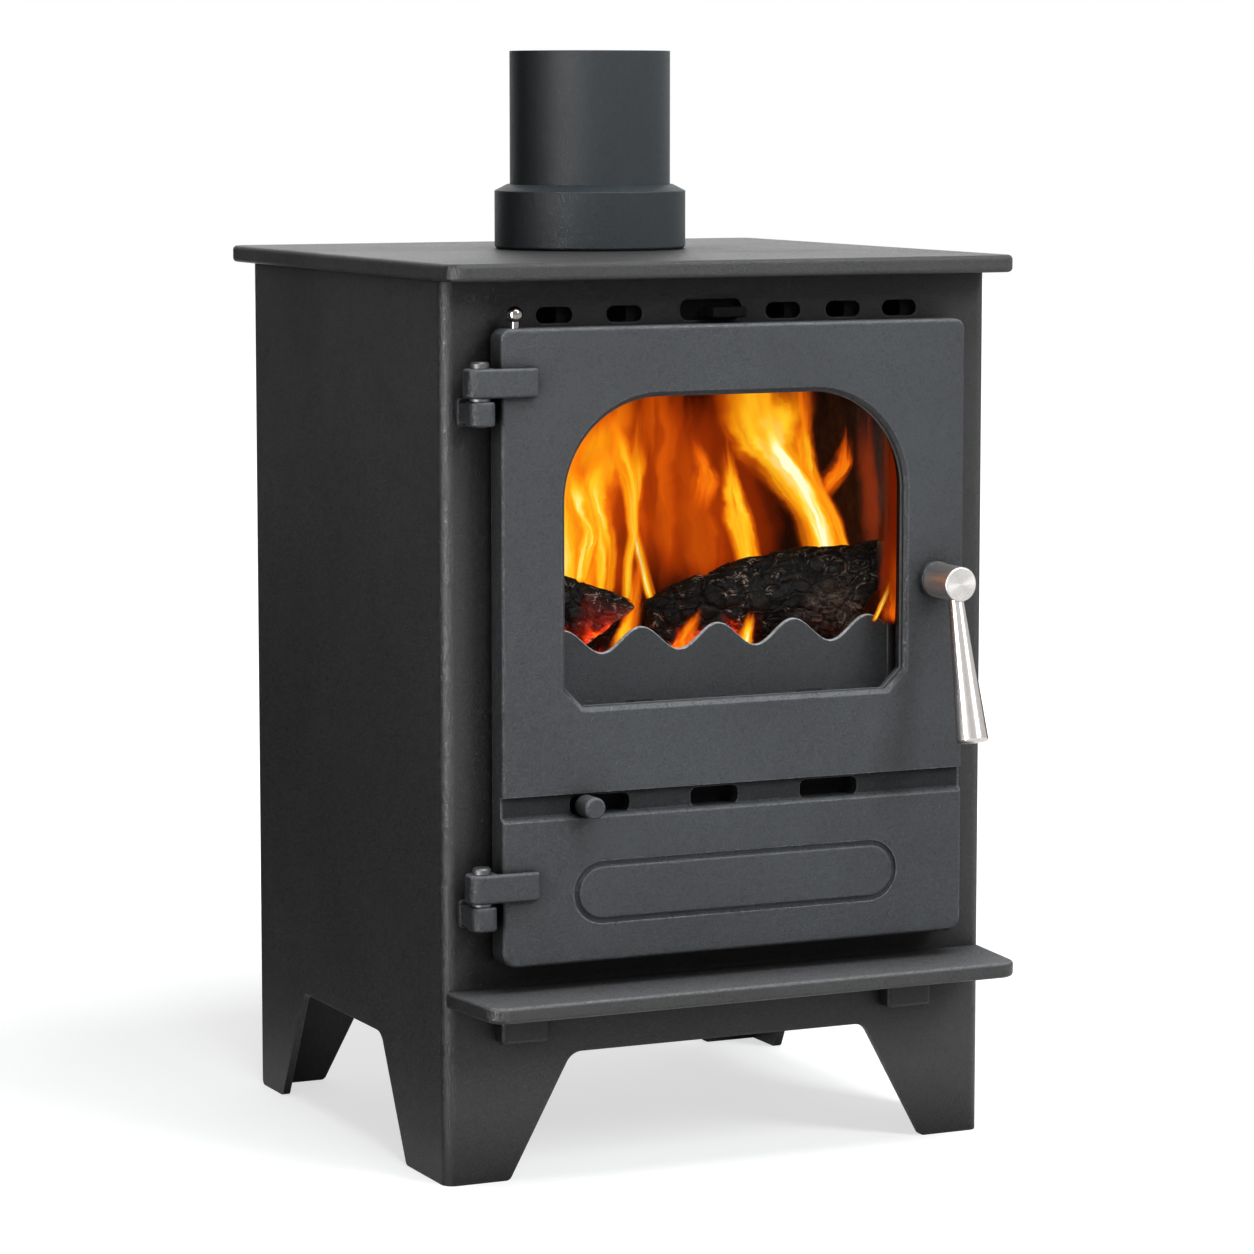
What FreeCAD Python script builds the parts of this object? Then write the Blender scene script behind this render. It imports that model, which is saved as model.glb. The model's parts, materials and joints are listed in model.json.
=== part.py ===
import FreeCAD, Part
import math
import os

# Multi-fuel stove. Millimetres, X to the right, Y to the back, Z up.
# The origin is on the floor, in the middle of the overall footprint.

# General
overrun = 5.0
slack = 0.3
running_fit = 0.05
plate = 6.0
sheet = 3.0

# Carcass
body_width = 446.0
body_depth = 384.0
body_height = 662.0
bend_radius = 9.0
floor_height = 172.0

# Legs, cut out of the carcass plates
leg_height = 92.0
arch_foot_half_width = 172.0
arch_top_half_width = 122.0
side_arch_front_foot = 77.0
side_arch_front_top = 126.0
side_arch_back_foot = 46.0
side_arch_back_top = 94.0
arch_radius = 14.0
foot_radius = 5.0

# Top plate
top_thickness = 13.0
top_side_overhang = 8.0
top_front_overhang = 34.0
top_back_overhang = 38.0
top_corner_radius = 12.0
top_edge_radius = 3.5

# Flue
flue_radius = 62.5
flue_wall = 2.0
flue_height = 153.0
flue_from_back = 150.0
collar_wall = 12.0
collar_height = 50.0
collar_shoulder = 5.0
collar_ledge = 6.0
collar_ledge_height = 15.0
collar_spigot = 14.0
collar_foot_radius = 2.0

# Door opening in the front
opening_side_inset = 49.0
opening_bottom_rise = 22.0
opening_top_drop = 32.0

# Door
door_side_inset = 34.0
door_bottom = 164.0
door_top_drop = 34.0
door_thickness = 20.0
door_gap = 9.0
door_top_radius = 8.0
door_bottom_radius = 11.0
door_edge_radius = 3.0

# Window in the door
window_side_inset = 47.0
window_bottom_rise = 185.0
window_top_drop = 47.5
window_arc = 79.0
window_chamfer = 16.5
rim_width = 3.0
rim_depth = 3.0
glass_thickness = 4.0
gasket_thickness = 2.0
gasket_width = 4.0
glass_play = 0.4
glass_inset = 9.0

# Glass clips and their screws
clip_width = 22.0
clip_length = 24.0
clip_thickness = 2.0
clip_spread = 70.0
clip_radius = 3.0
clip_screw_radius = 2.5
clip_screw_depth = 7.0
clip_head_radius = 4.5
clip_head_height = 2.6
clip_hold = 4.0
clip_toe_half_width = 6.0
clip_toe_height = 2.2

# Rope seal round the door
rope_width = 11.0
rope_groove_depth = 5.0
rope_inset = 5.0
rope_corner = 22.0
rope_round = 3.2
rope_play = 0.3

# Primary air: a channel over the whole door, with slots, a slide and a knob
channel_rise = 107.0
channel_height = 18.5
channel_depth = 5.0
channel_bevel = 3.0
primary_slot_height = 14.0
primary_slot_radius = 5.0
primary_slot_centre_shares = (-0.291, -0.045, 0.206)
primary_slot_lengths = (48.0, 39.0, 48.0)
primary_slide_thickness = 2.5
primary_slide_height = 26.0
primary_travel_back = 6.0
primary_travel_out = 32.0
knob_radius = 8.0
knob_length = 19.0
knob_stem_radius = 4.0
knob_sink = 2.0
knob_edge = 1.4
knob_end_play = 1.0
guide_lap = 4.0
guide_base = 6.0
guide_lip = 2.0

# Raised bare oblong at the foot of the door
oblong_end_inset = 56.0
oblong_height = 46.0
oblong_rise = 51.5
oblong_groove = 4.0
oblong_groove_depth = 1.5
oblong_raise = 1.3
oblong_edge = 1.0

# Door hinges
hinge_from_door = 15.2
hinge_sink = 4.0
hinge_pin_radius = 5.0
hinge_head_radius = 6.8
hinge_head_height = 4.5
hinge_head_edge = 1.2
hinge_pin_tail = 0.6
hinge_gap = 2.4
hinge_washer_radius = 7.4
hinge_eye_half_width = 11.5
hinge_eye_half_depth = 10.0
hinge_corner = 7.0
hinge_edge = 2.2
strap_height = 21.0
strap_pad_length = 27.0
upper_strap_drop = 48.8
lower_strap_rise = 50.0
lug_height = 18.0
lug_half_width = 9.8
lug_arm_half_width = 8.0
lug_plate_half_width = 9.0
lug_plate_height = 20.0
lug_plate_thickness = 5.0
lug_plate_radius = 3.0

# Ball stud on the door's top edge
stud_from_edge = 15.0
stud_stem_radius = 3.4
stud_stem_length = 6.8
stud_ball_radius = 6.1
stud_depth_share = 0.55

# Handle and latch
handle_from_edge = 24.5
handle_rise = 269.0
handle_collar_radius = 13.9
handle_collar_length = 6.0
handle_boss_radius = 13.0
handle_boss_reach = 41.0
handle_boss_edge = 1.6
bar_root_reach = 30.0
bar_length = 120.0
bar_lean_degrees = 14.5
bar_top_radius = 6.0
bar_end_radius = 11.9
bar_edge = 2.5
spindle_radius = 5.0
spindle_in_boss = 13.0
tongue_length = 18.0
tongue_width = 10.0
tongue_hub_radius = 8.0
tongue_thickness = 6.0
tongue_setback = 8.0
latch_nut_flats = 13.0
latch_nut_height = 6.0
latch_nut_end = 2.0
latch_clear = 3.5
latch_box_depth = 30.0
latch_slot_radius = 3.0

# Airwash: slots over the door, a slide behind them and a duct down to the glass
airwash_drop = 26.2
airwash_slot_height = 12.0
airwash_slot_length = 29.0
airwash_slot_centre_shares = (-0.3027, -0.1771, 0.1132, 0.2253, 0.3318)
finger_slot_centre_share = -0.0202
finger_slot_length = 50.0
finger_slot_height = 15.4
finger_tab_length = 27.0
finger_tab_height = 8.0
finger_tab_reach = 14.0
finger_tab_edge = 1.5
finger_tab_right_play = 2.2
airwash_travel = 19.0
airwash_slide_height = 32.0
airwash_slide_margin = 5.5
airwash_guide_base = 4.0
duct_margin = 9.0
duct_depth = 34.0
duct_bottom_drop = 60.0
duct_top_drop = 1.0

# Hearth shelf in front of the door
shelf_side_inset = 1.0
shelf_taper = 7.0
shelf_depth = 73.0
shelf_top = 145.0
shelf_thickness = 12.0
shelf_corner = 15.0
shelf_edge_radius = 3.0
shelf_bracket_centre = 160.0
shelf_bracket_width = 37.0
shelf_bracket_height = 18.0
shelf_bracket_depth = 21.0
shelf_bracket_slope = 2.0

# Fire bricks and baffle
brick = 30.0
brick_front = 46.0
rear_brick_drop = 20.0
brick_edge = 3.0
baffle_drop = 62.0
baffle_front = 110.0
baffle_lip = 22.0
baffle_side_play = 6.0

# Grate, fuel guard and ash pan
grate_rise = 126.0
bed_thickness = 14.0
bed_front = 8.0
bed_hole_half_width = 112.0
bed_hole_front = 84.0
bed_hole_back_margin = 58.0
bed_ledge = 12.0
bed_ledge_thickness = 6.0
rail_width = 30.0
rail_height = 24.0
riddle_travel = 12.0
riddle_bar_count = 10
riddle_bar_top = 11.0
riddle_bar_foot = 6.0
riddle_end = 16.0
riddle_pull_radius = 5.0
riddle_pull_drop = 9.0
riddle_pull_front = 17.0
riddle_eye_radius = 9.0
riddle_eye_thickness = 8.0
riddle_eye_hole = 4.5
guard_thickness = 5.0
guard_setback = 9.0
guard_pitch = 63.0
guard_waves = 5
guard_crest_rise = 101.0
guard_trough_rise = 83.0
guard_crest_radius_share = 0.24
guard_trough_radius_share = 0.30
guard_rest_length = 20.0
guard_rest_height = 16.0
guard_rest_thickness = 6.0
guard_rest_spread = 100.0
pan_side_play = 6.0
pan_front = 11.0
pan_back_margin = 73.0
pan_height = 78.0
pan_wall = 2.0
pan_corner = 8.0
pan_grip_width = 90.0
pan_grip_drop = 12.0
pan_grip_depth = 8.0

# Derived places
half_width = body_width / 2
half_door = half_width - door_side_inset
door_width = 2 * half_door
opening_half_width = half_door - opening_side_inset
window_half_width = half_door - window_side_inset
oblong_length = door_width - 2 * oblong_end_inset
shelf_width = body_width - 2 * shelf_side_inset
pan_half_width = opening_half_width - pan_side_play
door_top = body_height - door_top_drop
bar_lean = math.radians(bar_lean_degrees)
bar_front_swell = (bar_end_radius - bar_edge) * math.cos(bar_lean) + bar_edge
bar_front = bar_root_reach + (bar_length - bar_edge) * math.sin(bar_lean) + bar_front_swell
front_reach = door_gap + door_thickness + bar_front
back_reach = body_depth + top_back_overhang
front_y = front_reach - (front_reach + back_reach) / 2
back_y = front_y + body_depth
inner_front_y = front_y + plate
inner_back_y = back_y - plate
door_back_y = front_y - door_gap
door_front_y = door_back_y - door_thickness
opening_bottom = door_bottom + opening_bottom_rise
opening_top = door_top - opening_top_drop
window_bottom = door_bottom + window_bottom_rise
window_top = door_top - window_top_drop
channel_bottom = door_bottom + channel_rise
channel_top = channel_bottom + channel_height
channel_middle = channel_bottom + channel_height / 2
oblong_z = door_bottom + oblong_rise
hinge_x = -half_door - hinge_from_door
hinge_y = door_front_y + hinge_sink
strap_bottoms = (door_top - upper_strap_drop, door_bottom + lower_strap_rise)
handle_x = half_door - handle_from_edge
handle_z = door_bottom + handle_rise
tongue_y = front_y + tongue_setback
flue_y = back_y - flue_from_back
collar_radius = flue_radius + collar_wall
top_z = body_height + top_thickness
airwash_z = body_height - airwash_drop
last_slot_x = body_width * airwash_slot_centre_shares[-1] + airwash_slot_length / 2
airwash_slide_half_width = last_slot_x + airwash_slide_margin
floor_top = floor_height + plate
grate_level = floor_top + grate_rise
bed_low = grate_level - bed_thickness
baffle_z = body_height - baffle_drop


def point(plane, level, u, v):
    # A point of a flat outline: u and v lie in the plane, level along its normal.
    if plane == "xy":
        return FreeCAD.Vector(u, v, level)
    if plane == "xz":
        return FreeCAD.Vector(u, level, v)
    return FreeCAD.Vector(level, u, v)


def normal(plane, length):
    # The plane's normal, as long as asked.
    return point(plane, length, 0, 0)


def outline(plane, level, corners):
    # A closed wire through corners (u, v, radius), each rounded by a tangent arc.
    rounds = []
    count = len(corners)
    for i in range(count):
        u, v, radius = corners[i]
        here = FreeCAD.Vector(u, v, 0)
        last = corners[i - 1]
        coming = corners[(i + 1) % count]
        before = (FreeCAD.Vector(last[0], last[1], 0) - here).normalize()
        after = (FreeCAD.Vector(coming[0], coming[1], 0) - here).normalize()
        half = before.getAngle(after) / 2
        run = radius / math.tan(half)
        middle = (before + after).normalize() * (radius / math.sin(half) - radius)
        rounds.append((here + before * run, here + middle, here + after * run, radius))
    edges = []
    for i in range(count):
        last_end = rounds[i - 1][2]
        start, middle, end, radius = rounds[i]
        if (start - last_end).Length > slack / 10:
            edges.append(Part.LineSegment(point(plane, level, last_end.x, last_end.y),
                                          point(plane, level, start.x, start.y)).toShape())
        if radius > 0:
            edges.append(Part.Arc(point(plane, level, start.x, start.y),
                                  point(plane, level, middle.x, middle.y),
                                  point(plane, level, end.x, end.y)).toShape())
    return Part.Wire(Part.__sortEdges__(edges))


def slab(plane, level, thickness, corners):
    # A flat piece of the given outline, from level onwards along the plane's normal.
    return Part.Face(outline(plane, level, corners)).extrude(normal(plane, thickness))


def rect(u0, u1, v0, v1, radius=0):
    # Corners of an upright rectangle with one corner radius.
    return [(u0, v0, radius), (u1, v0, radius), (u1, v1, radius), (u0, v1, radius)]


def stadium(u, v, length, height):
    # Corners of an oblong with half-round ends.
    return rect(u - length / 2, u + length / 2, v - height / 2, v + height / 2, height / 2)


def block(x0, x1, y0, y1, z0, z1):
    return Part.makeBox(x1 - x0, y1 - y0, z1 - z0, FreeCAD.Vector(x0, y0, z0))


def rod(radius, length, x, y, z, direction):
    return Part.makeCylinder(radius, length, FreeCAD.Vector(x, y, z), direction)


ALONG_X = FreeCAD.Vector(1, 0, 0)
ALONG_Y = FreeCAD.Vector(0, 1, 0)
ALONG_Z = FreeCAD.Vector(0, 0, 1)


def turned(profile, x, y, z, direction):
    # A turned piece: profile points are (distance along the axis, radius).
    points = [FreeCAD.Vector(radius, 0, along) for along, radius in profile]
    face = Part.Face(Part.makePolygon(points + [points[0]]))
    solid = face.revolve(FreeCAD.Vector(0, 0, 0), ALONG_Z, 360)
    solid.Placement = FreeCAD.Placement(FreeCAD.Vector(x, y, z), FreeCAD.Rotation(ALONG_Z, direction))
    return solid


def soften(solid, axis, level, radius):
    # Round every edge that lies in the plane where the named axis has this level.
    edges = []
    for edge in solid.Edges:
        box = edge.BoundBox
        low = getattr(box, axis + "Min")
        high = getattr(box, axis + "Max")
        if abs(low - level) < slack / 10 and abs(high - level) < slack / 10:
            edges.append(edge)
    return solid.makeFillet(radius, edges)


def save(name, *solids):
    # One file per named piece; alike pieces share a file as separate solids.
    shape = solids[0] if len(solids) == 1 else Part.makeCompound(list(solids))
    shape.exportStep("parts/" + name + ".step")


def arch(near_foot, near_top, far_top, far_foot):
    # The stretch of an outline that runs up one leg, over the gap and down the next leg.
    return [(near_foot, 0, foot_radius), (near_top, leg_height, arch_radius),
            (far_top, leg_height, arch_radius), (far_foot, 0, foot_radius)]


def airwash_slots(level, thickness):
    # The row of draught slots over the door, as cutting solids.
    tools = []
    for share in airwash_slot_centre_shares:
        shape = stadium(body_width * share, airwash_z, airwash_slot_length, airwash_slot_height)
        tools.append(slab("xz", level, thickness, shape))
    left = body_width * finger_slot_centre_share - finger_slot_length / 2
    low = airwash_z - airwash_slot_height / 2
    finger = rect(left, left + finger_slot_length, low, low + finger_slot_height, airwash_slot_height / 2)
    tools.append(slab("xz", level, thickness, finger))
    return tools


def latch_slot(margin):
    # Corners of the hole that the latch tongue turns in, grown by a margin.
    reach = tongue_length + latch_clear + margin
    back = tongue_hub_radius + latch_clear + margin
    return rect(handle_x - back, handle_x + reach, handle_z - back, handle_z + reach, latch_slot_radius)


def front_header():
    # The bar over the door opening, with the airwash slots.
    edge = half_width - bend_radius
    solid = block(-edge, edge, front_y, inner_front_y, opening_top, body_height)
    return solid.cut(airwash_slots(front_y - overrun, plate + 2 * overrun))


def front_stile(side):
    # The bar beside the door opening; side is -1 on the left and 1 on the right.
    near = side * opening_half_width
    far = side * (half_width - bend_radius)
    solid = block(min(near, far), max(near, far), front_y, inner_front_y, opening_bottom, opening_top)
    return solid.cut(slab("xz", front_y - overrun, plate + 2 * overrun, latch_slot(0)))


def front_skirt():
    # The plate under the door opening, with the front legs cut out of it.
    edge = half_width - bend_radius
    legs = arch(-arch_foot_half_width, -arch_top_half_width, arch_top_half_width, arch_foot_half_width)
    corners = [(-edge, 0, 0)] + legs + [(edge, 0, 0), (edge, opening_bottom, 0), (-edge, opening_bottom, 0)]
    return slab("xz", front_y, plate, corners)


def side_plate(side):
    # A side wall with the rolled front corner; side is -1 on the left and 1 on the right.
    bend_y = front_y + bend_radius
    legs = arch(front_y + side_arch_front_foot, front_y + side_arch_front_top,
                back_y - side_arch_back_top, back_y - side_arch_back_foot)
    corners = [(bend_y, 0, 0)] + legs + [(back_y, 0, foot_radius), (back_y, body_height, 0),
                                         (bend_y, body_height, 0)]
    wall = slab("yz", min(side * half_width, side * (half_width - plate)), plate, corners)
    centre_x = side * (half_width - bend_radius)
    outer = rod(bend_radius, body_height, centre_x, bend_y, 0, ALONG_Z)
    inner = rod(bend_radius - plate, body_height, centre_x, bend_y, 0, ALONG_Z)
    edge_x = side * half_width
    quarter = block(min(centre_x, edge_x), max(centre_x, edge_x), front_y, bend_y, 0, body_height)
    return wall.fuse(outer.cut(inner).common(quarter)).removeSplitter()


def back_plate():
    edge = half_width - plate
    legs = arch(-arch_foot_half_width, -arch_top_half_width, arch_top_half_width, arch_foot_half_width)
    corners = [(-edge, 0, 0)] + legs + [(edge, 0, 0), (edge, body_height, 0), (-edge, body_height, 0)]
    return slab("xz", inner_back_y, plate, corners)


def top_plate():
    edge = half_width + top_side_overhang
    corners = rect(-edge, edge, front_y - top_front_overhang, back_y + top_back_overhang, top_corner_radius)
    solid = slab("xy", body_height, top_thickness, corners)
    solid = soften(solid, "Z", top_z, top_edge_radius)
    solid = soften(solid, "Z", body_height, top_edge_radius)
    hole = flue_radius - collar_ledge + slack
    return solid.cut(rod(hole, top_thickness + 2 * overrun, 0, flue_y, body_height - overrun, ALONG_Z))


def floor_plate():
    edge = half_width - plate
    corners = [(-edge, inner_front_y, bend_radius), (edge, inner_front_y, bend_radius),
               (edge, inner_back_y, 0), (-edge, inner_back_y, 0)]
    return slab("xy", floor_height, plate, corners)


def flue_collar():
    # A turned ring with a socket for the pipe and a spigot down through the top plate.
    spigot_radius = flue_radius - collar_ledge
    bore = spigot_radius - flue_wall
    socket = flue_radius + slack
    foot = -collar_spigot - top_thickness
    profile = [(foot, bore), (foot, spigot_radius), (0, spigot_radius),
               (0, collar_radius - collar_foot_radius), (collar_foot_radius, collar_radius),
               (collar_height - collar_shoulder, collar_radius),
               (collar_height, socket + flue_wall), (collar_height, socket), (collar_ledge_height, socket),
               (collar_ledge_height, bore)]
    return turned(profile, 0, flue_y, top_z, ALONG_Z)


def flue_pipe():
    length = flue_height - collar_ledge_height
    base = top_z + collar_ledge_height
    outside = rod(flue_radius, length, 0, flue_y, base, ALONG_Z)
    inside = rod(flue_radius - flue_wall, length + 2 * overrun, 0, flue_y, base - overrun, ALONG_Z)
    return outside.cut(inside)


def hearth_shelf():
    half = shelf_width / 2
    edge_y = front_y - shelf_depth
    tip = half - shelf_taper
    corners = [(-tip, edge_y, shelf_corner), (tip, edge_y, shelf_corner),
               (half, front_y, 0), (-half, front_y, 0)]
    solid = slab("xy", shelf_top - shelf_thickness, shelf_thickness, corners)
    edges = []
    for edge in solid.Edges:
        if edge.BoundBox.ZLength < slack and edge.BoundBox.YMin < front_y - slack:
            edges.append(edge)
    return solid.makeFillet(shelf_edge_radius, edges)


def shelf_bracket(side):
    top = shelf_top - shelf_thickness
    low = top - shelf_bracket_height
    tip = front_y - shelf_bracket_depth
    corners = [(front_y, top, 0), (tip, top, 0), (tip, low + shelf_bracket_slope, 0),
               (tip + shelf_bracket_slope, low, 0), (front_y, low, 0)]
    start = side * shelf_bracket_centre - shelf_bracket_width / 2
    return slab("yz", start, shelf_bracket_width, corners)


def window_corners(grow):
    # The window's outline: two large arcs over two cut corners, grown outwards.
    half = window_half_width + grow
    low = window_bottom - grow
    cut = window_chamfer + grow * (2 - math.sqrt(2))
    arc = window_arc + grow
    return [(-half, window_top + grow, arc), (half, window_top + grow, arc), (half, low + cut, 0),
            (half - cut, low, 0), (cut - half, low, 0), (-half, low + cut, 0)]


def door_casting():
    corners = [(-half_door, door_bottom, door_bottom_radius), (half_door, door_bottom, door_bottom_radius),
               (half_door, door_top, door_top_radius), (-half_door, door_top, door_top_radius)]
    solid = slab("xz", door_front_y, door_thickness, corners)
    solid = soften(solid, "Y", door_front_y, door_edge_radius)
    solid = solid.cut([window_cut(), window_rim(), glass_recess(), rope_groove(), primary_channel()])
    solid = solid.cut(primary_slots(door_front_y - overrun, door_thickness + 2 * overrun))
    solid = solid.cut(screw_holes() + [spindle_hole()])
    return oblong(solid)


def window_cut():
    return slab("xz", door_front_y - overrun, door_thickness + 2 * overrun, window_corners(-rim_width))


def window_rim():
    # The bevel round the window, wide at the face and narrow behind it.
    face = outline("xz", door_front_y, window_corners(0))
    behind = outline("xz", door_front_y + rim_depth, window_corners(-rim_width))
    return Part.makeLoft([face, behind], True, True)


def glass_recess():
    depth = glass_thickness + gasket_thickness + glass_inset
    return slab("xz", door_back_y - depth, depth + overrun, window_corners(glass_play))


def rope_corners(grow):
    # The seal's outline round the door opening, grown outwards from its inner edge.
    half = opening_half_width + rope_inset + grow
    low = opening_bottom - rope_inset - grow
    high = opening_top + rope_inset + grow
    return rect(-half, half, low, high, rope_corner + grow)


def rope_groove():
    floor = door_back_y - rope_groove_depth
    outer = slab("xz", floor, rope_groove_depth + overrun, rope_corners(rope_width))
    return outer.cut(slab("xz", floor - overrun, rope_groove_depth + 3 * overrun, rope_corners(0)))


def primary_channel():
    # Square at the top edge and bevelled at the lower one.
    floor = door_front_y + channel_depth
    outside = door_front_y - overrun
    corners = [(outside, channel_bottom, 0), (door_front_y, channel_bottom, 0),
               (floor, channel_bottom + channel_bevel, 0), (floor, channel_top, 0),
               (outside, channel_top, 0)]
    return slab("yz", -half_door - overrun, door_width + 2 * overrun, corners)


def primary_spans():
    # Left and right ends of each draught slot in the door.
    spans = []
    for share, length in zip(primary_slot_centre_shares, primary_slot_lengths):
        middle = door_width * share
        spans.append((middle - length / 2, middle + length / 2))
    return spans


def primary_slots(level, thickness):
    tools = []
    low = channel_middle - primary_slot_height / 2
    high = channel_middle + primary_slot_height / 2
    for left, right in primary_spans():
        tools.append(slab("xz", level, thickness, rect(left, right, low, high, primary_slot_radius)))
    return tools


def clip_places():
    # The x and z of each clip's screw: two over the glass and two under it.
    above = window_top + clip_length / 2 - clip_hold
    below = window_bottom - clip_length / 2 + clip_hold
    return [(-clip_spread, above), (clip_spread, above), (-clip_spread, below), (clip_spread, below)]


def screw_holes():
    tools = []
    for x, z in clip_places():
        tools.append(rod(clip_screw_radius + running_fit, clip_screw_depth + overrun, x,
                         door_back_y - clip_screw_depth, z, ALONG_Y))
    return tools


def spindle_hole():
    return rod(spindle_radius + running_fit, door_thickness + 2 * overrun, handle_x, door_front_y - overrun,
               handle_z, ALONG_Y)


def oblong(door):
    # A bare raised oblong inside a fine groove.
    outer = stadium(0, oblong_z, oblong_length, oblong_height)
    inner = stadium(0, oblong_z, oblong_length - 2 * oblong_groove, oblong_height - 2 * oblong_groove)
    door = door.cut(slab("xz", door_front_y - overrun, oblong_groove_depth + overrun, outer))
    raised = slab("xz", door_front_y - oblong_raise, oblong_raise + oblong_groove_depth, inner)
    return door.fuse(soften(raised, "Y", door_front_y - oblong_raise, oblong_edge))


def door_glass():
    return slab("xz", door_back_y - glass_inset - glass_thickness, glass_thickness, window_corners(0))


def glass_gasket():
    level = door_back_y - glass_inset - glass_thickness - gasket_thickness
    ring = slab("xz", level, gasket_thickness, window_corners(0))
    hole = slab("xz", level - overrun, gasket_thickness + 2 * overrun, window_corners(-gasket_width))
    return ring.cut(hole)


def glass_clip(x, z):
    half = clip_width / 2
    corners = rect(x - half, x + half, z - clip_length / 2, z + clip_length / 2, clip_radius)
    solid = slab("xz", door_back_y, clip_thickness, corners).fuse(clip_toe(x, z)).removeSplitter()
    hole = clip_screw_radius + running_fit
    return solid.cut(rod(hole, clip_thickness + 2 * overrun, x, door_back_y - overrun, z, ALONG_Y))


def clip_toe(x, z):
    # The toe reaches into the recess and holds the glass.
    if z > window_bottom:
        low = window_top - clip_hold
    else:
        low = window_bottom + slack
    return block(x - clip_toe_half_width, x + clip_toe_half_width, door_back_y - glass_inset + slack,
                 door_back_y, low, low + clip_toe_height)


def glass_screw(x, z):
    head_y = door_back_y + clip_thickness
    length = clip_screw_depth + clip_thickness
    shank = rod(clip_screw_radius, length, x, door_back_y - clip_screw_depth, z, ALONG_Y)
    head = rod(clip_head_radius, clip_head_height, x, head_y, z, ALONG_Y)
    return shank.fuse(soften(head, "Y", head_y + clip_head_height, clip_head_height / 2)).removeSplitter()


def door_rope_seal():
    level = door_back_y - rope_groove_depth
    depth = rope_groove_depth + door_gap - slack
    outer = slab("xz", level, depth, rope_corners(rope_width - rope_play))
    solid = outer.cut(slab("xz", level - overrun, depth + 2 * overrun, rope_corners(rope_play)))
    edges = [edge for edge in solid.Edges if edge.BoundBox.YLength < slack]
    return solid.makeChamfer(rope_round, edges)


def hinge_strap(bottom):
    # The strap lies on the door's face and wraps forward round the pin.
    front = hinge_y - hinge_eye_half_depth
    back = hinge_y + hinge_eye_half_depth
    left = hinge_x - hinge_eye_half_width
    right = hinge_x + hinge_eye_half_width
    corners = [(left, front, hinge_corner), (strap_pad_length - half_door, front, hinge_edge),
               (strap_pad_length - half_door, door_front_y, 0), (right, door_front_y, 0),
               (right, back, hinge_edge), (left, back, hinge_corner)]
    solid = slab("xy", bottom, strap_height, corners)
    solid = soften(solid, "Z", bottom + strap_height, hinge_edge)
    solid = soften(solid, "Z", bottom, hinge_edge)
    return solid.cut(rod(hinge_pin_radius + running_fit, strap_height + 2 * overrun, hinge_x, hinge_y,
                         bottom - overrun, ALONG_Z))


def hinge_lug(strap_bottom):
    # The knuckle under a strap, on an arm from its foot plate on the front.
    top = strap_bottom - hinge_gap
    low = top - lug_height
    front = hinge_y - hinge_eye_half_depth
    back = hinge_y + hinge_eye_half_depth
    plan = rect(hinge_x - lug_half_width, hinge_x + lug_half_width, front, back, hinge_corner)
    knuckle = slab("xy", low, lug_height, plan)
    knuckle = soften(knuckle, "Z", low, hinge_edge)
    knuckle = soften(knuckle, "Z", top, hinge_edge)
    arm = block(hinge_x - lug_arm_half_width, hinge_x + lug_arm_half_width, hinge_y,
                front_y - lug_plate_thickness, low + hinge_edge, top - hinge_edge)
    middle = low + lug_height / 2
    foot_x = max(hinge_x, lug_plate_half_width + bend_radius - half_width)
    foot = slab("xz", front_y - lug_plate_thickness, lug_plate_thickness,
                rect(foot_x - lug_plate_half_width, foot_x + lug_plate_half_width,
                     middle - lug_plate_height / 2, middle + lug_plate_height / 2, lug_plate_radius))
    radius = hinge_pin_radius + running_fit
    hole = rod(radius, lug_height + 2 * overrun, hinge_x, hinge_y, low - overrun, ALONG_Z)
    return knuckle.fuse([arm, foot]).removeSplitter().cut(hole)


def hinge_pin(strap_bottom):
    head_low = strap_bottom + strap_height + slack
    tail = strap_bottom - hinge_gap - lug_height - hinge_pin_tail
    length = head_low - tail
    profile = [(0, 0), (0, hinge_pin_radius - hinge_head_edge), (hinge_head_edge, hinge_pin_radius),
               (length, hinge_pin_radius), (length, hinge_head_radius),
               (length + hinge_head_height - hinge_head_edge, hinge_head_radius),
               (length + hinge_head_height, hinge_head_radius - hinge_head_edge),
               (length + hinge_head_height, 0)]
    return turned(profile, hinge_x, hinge_y, tail, ALONG_Z)


def hinge_washer(strap_bottom):
    # The strap turns on this ring, which lies on the knuckle.
    low = strap_bottom - hinge_gap + slack
    height = hinge_gap - 2 * slack
    ring = rod(hinge_washer_radius, height, hinge_x, hinge_y, low, ALONG_Z)
    return ring.cut(rod(hinge_pin_radius + running_fit, height + 2 * overrun, hinge_x, hinge_y,
                        low - overrun, ALONG_Z))


def door_ball_stud():
    x = stud_from_edge - half_door
    y = door_front_y + door_thickness * stud_depth_share
    stem = rod(stud_stem_radius, stud_stem_length, x, y, door_top, ALONG_Z)
    middle = FreeCAD.Vector(x, y, door_top + stud_stem_length + stud_ball_radius / 2)
    ball = Part.makeSphere(stud_ball_radius, middle)
    return stem.fuse(ball).removeSplitter()


def handle_collar():
    y = door_front_y - handle_collar_length
    ring = rod(handle_collar_radius, handle_collar_length, handle_x, y, handle_z, ALONG_Y)
    ring = soften(ring, "Y", y, handle_boss_edge)
    return ring.cut(spindle_hole().translated(FreeCAD.Vector(0, -handle_collar_length, 0)))


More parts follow.
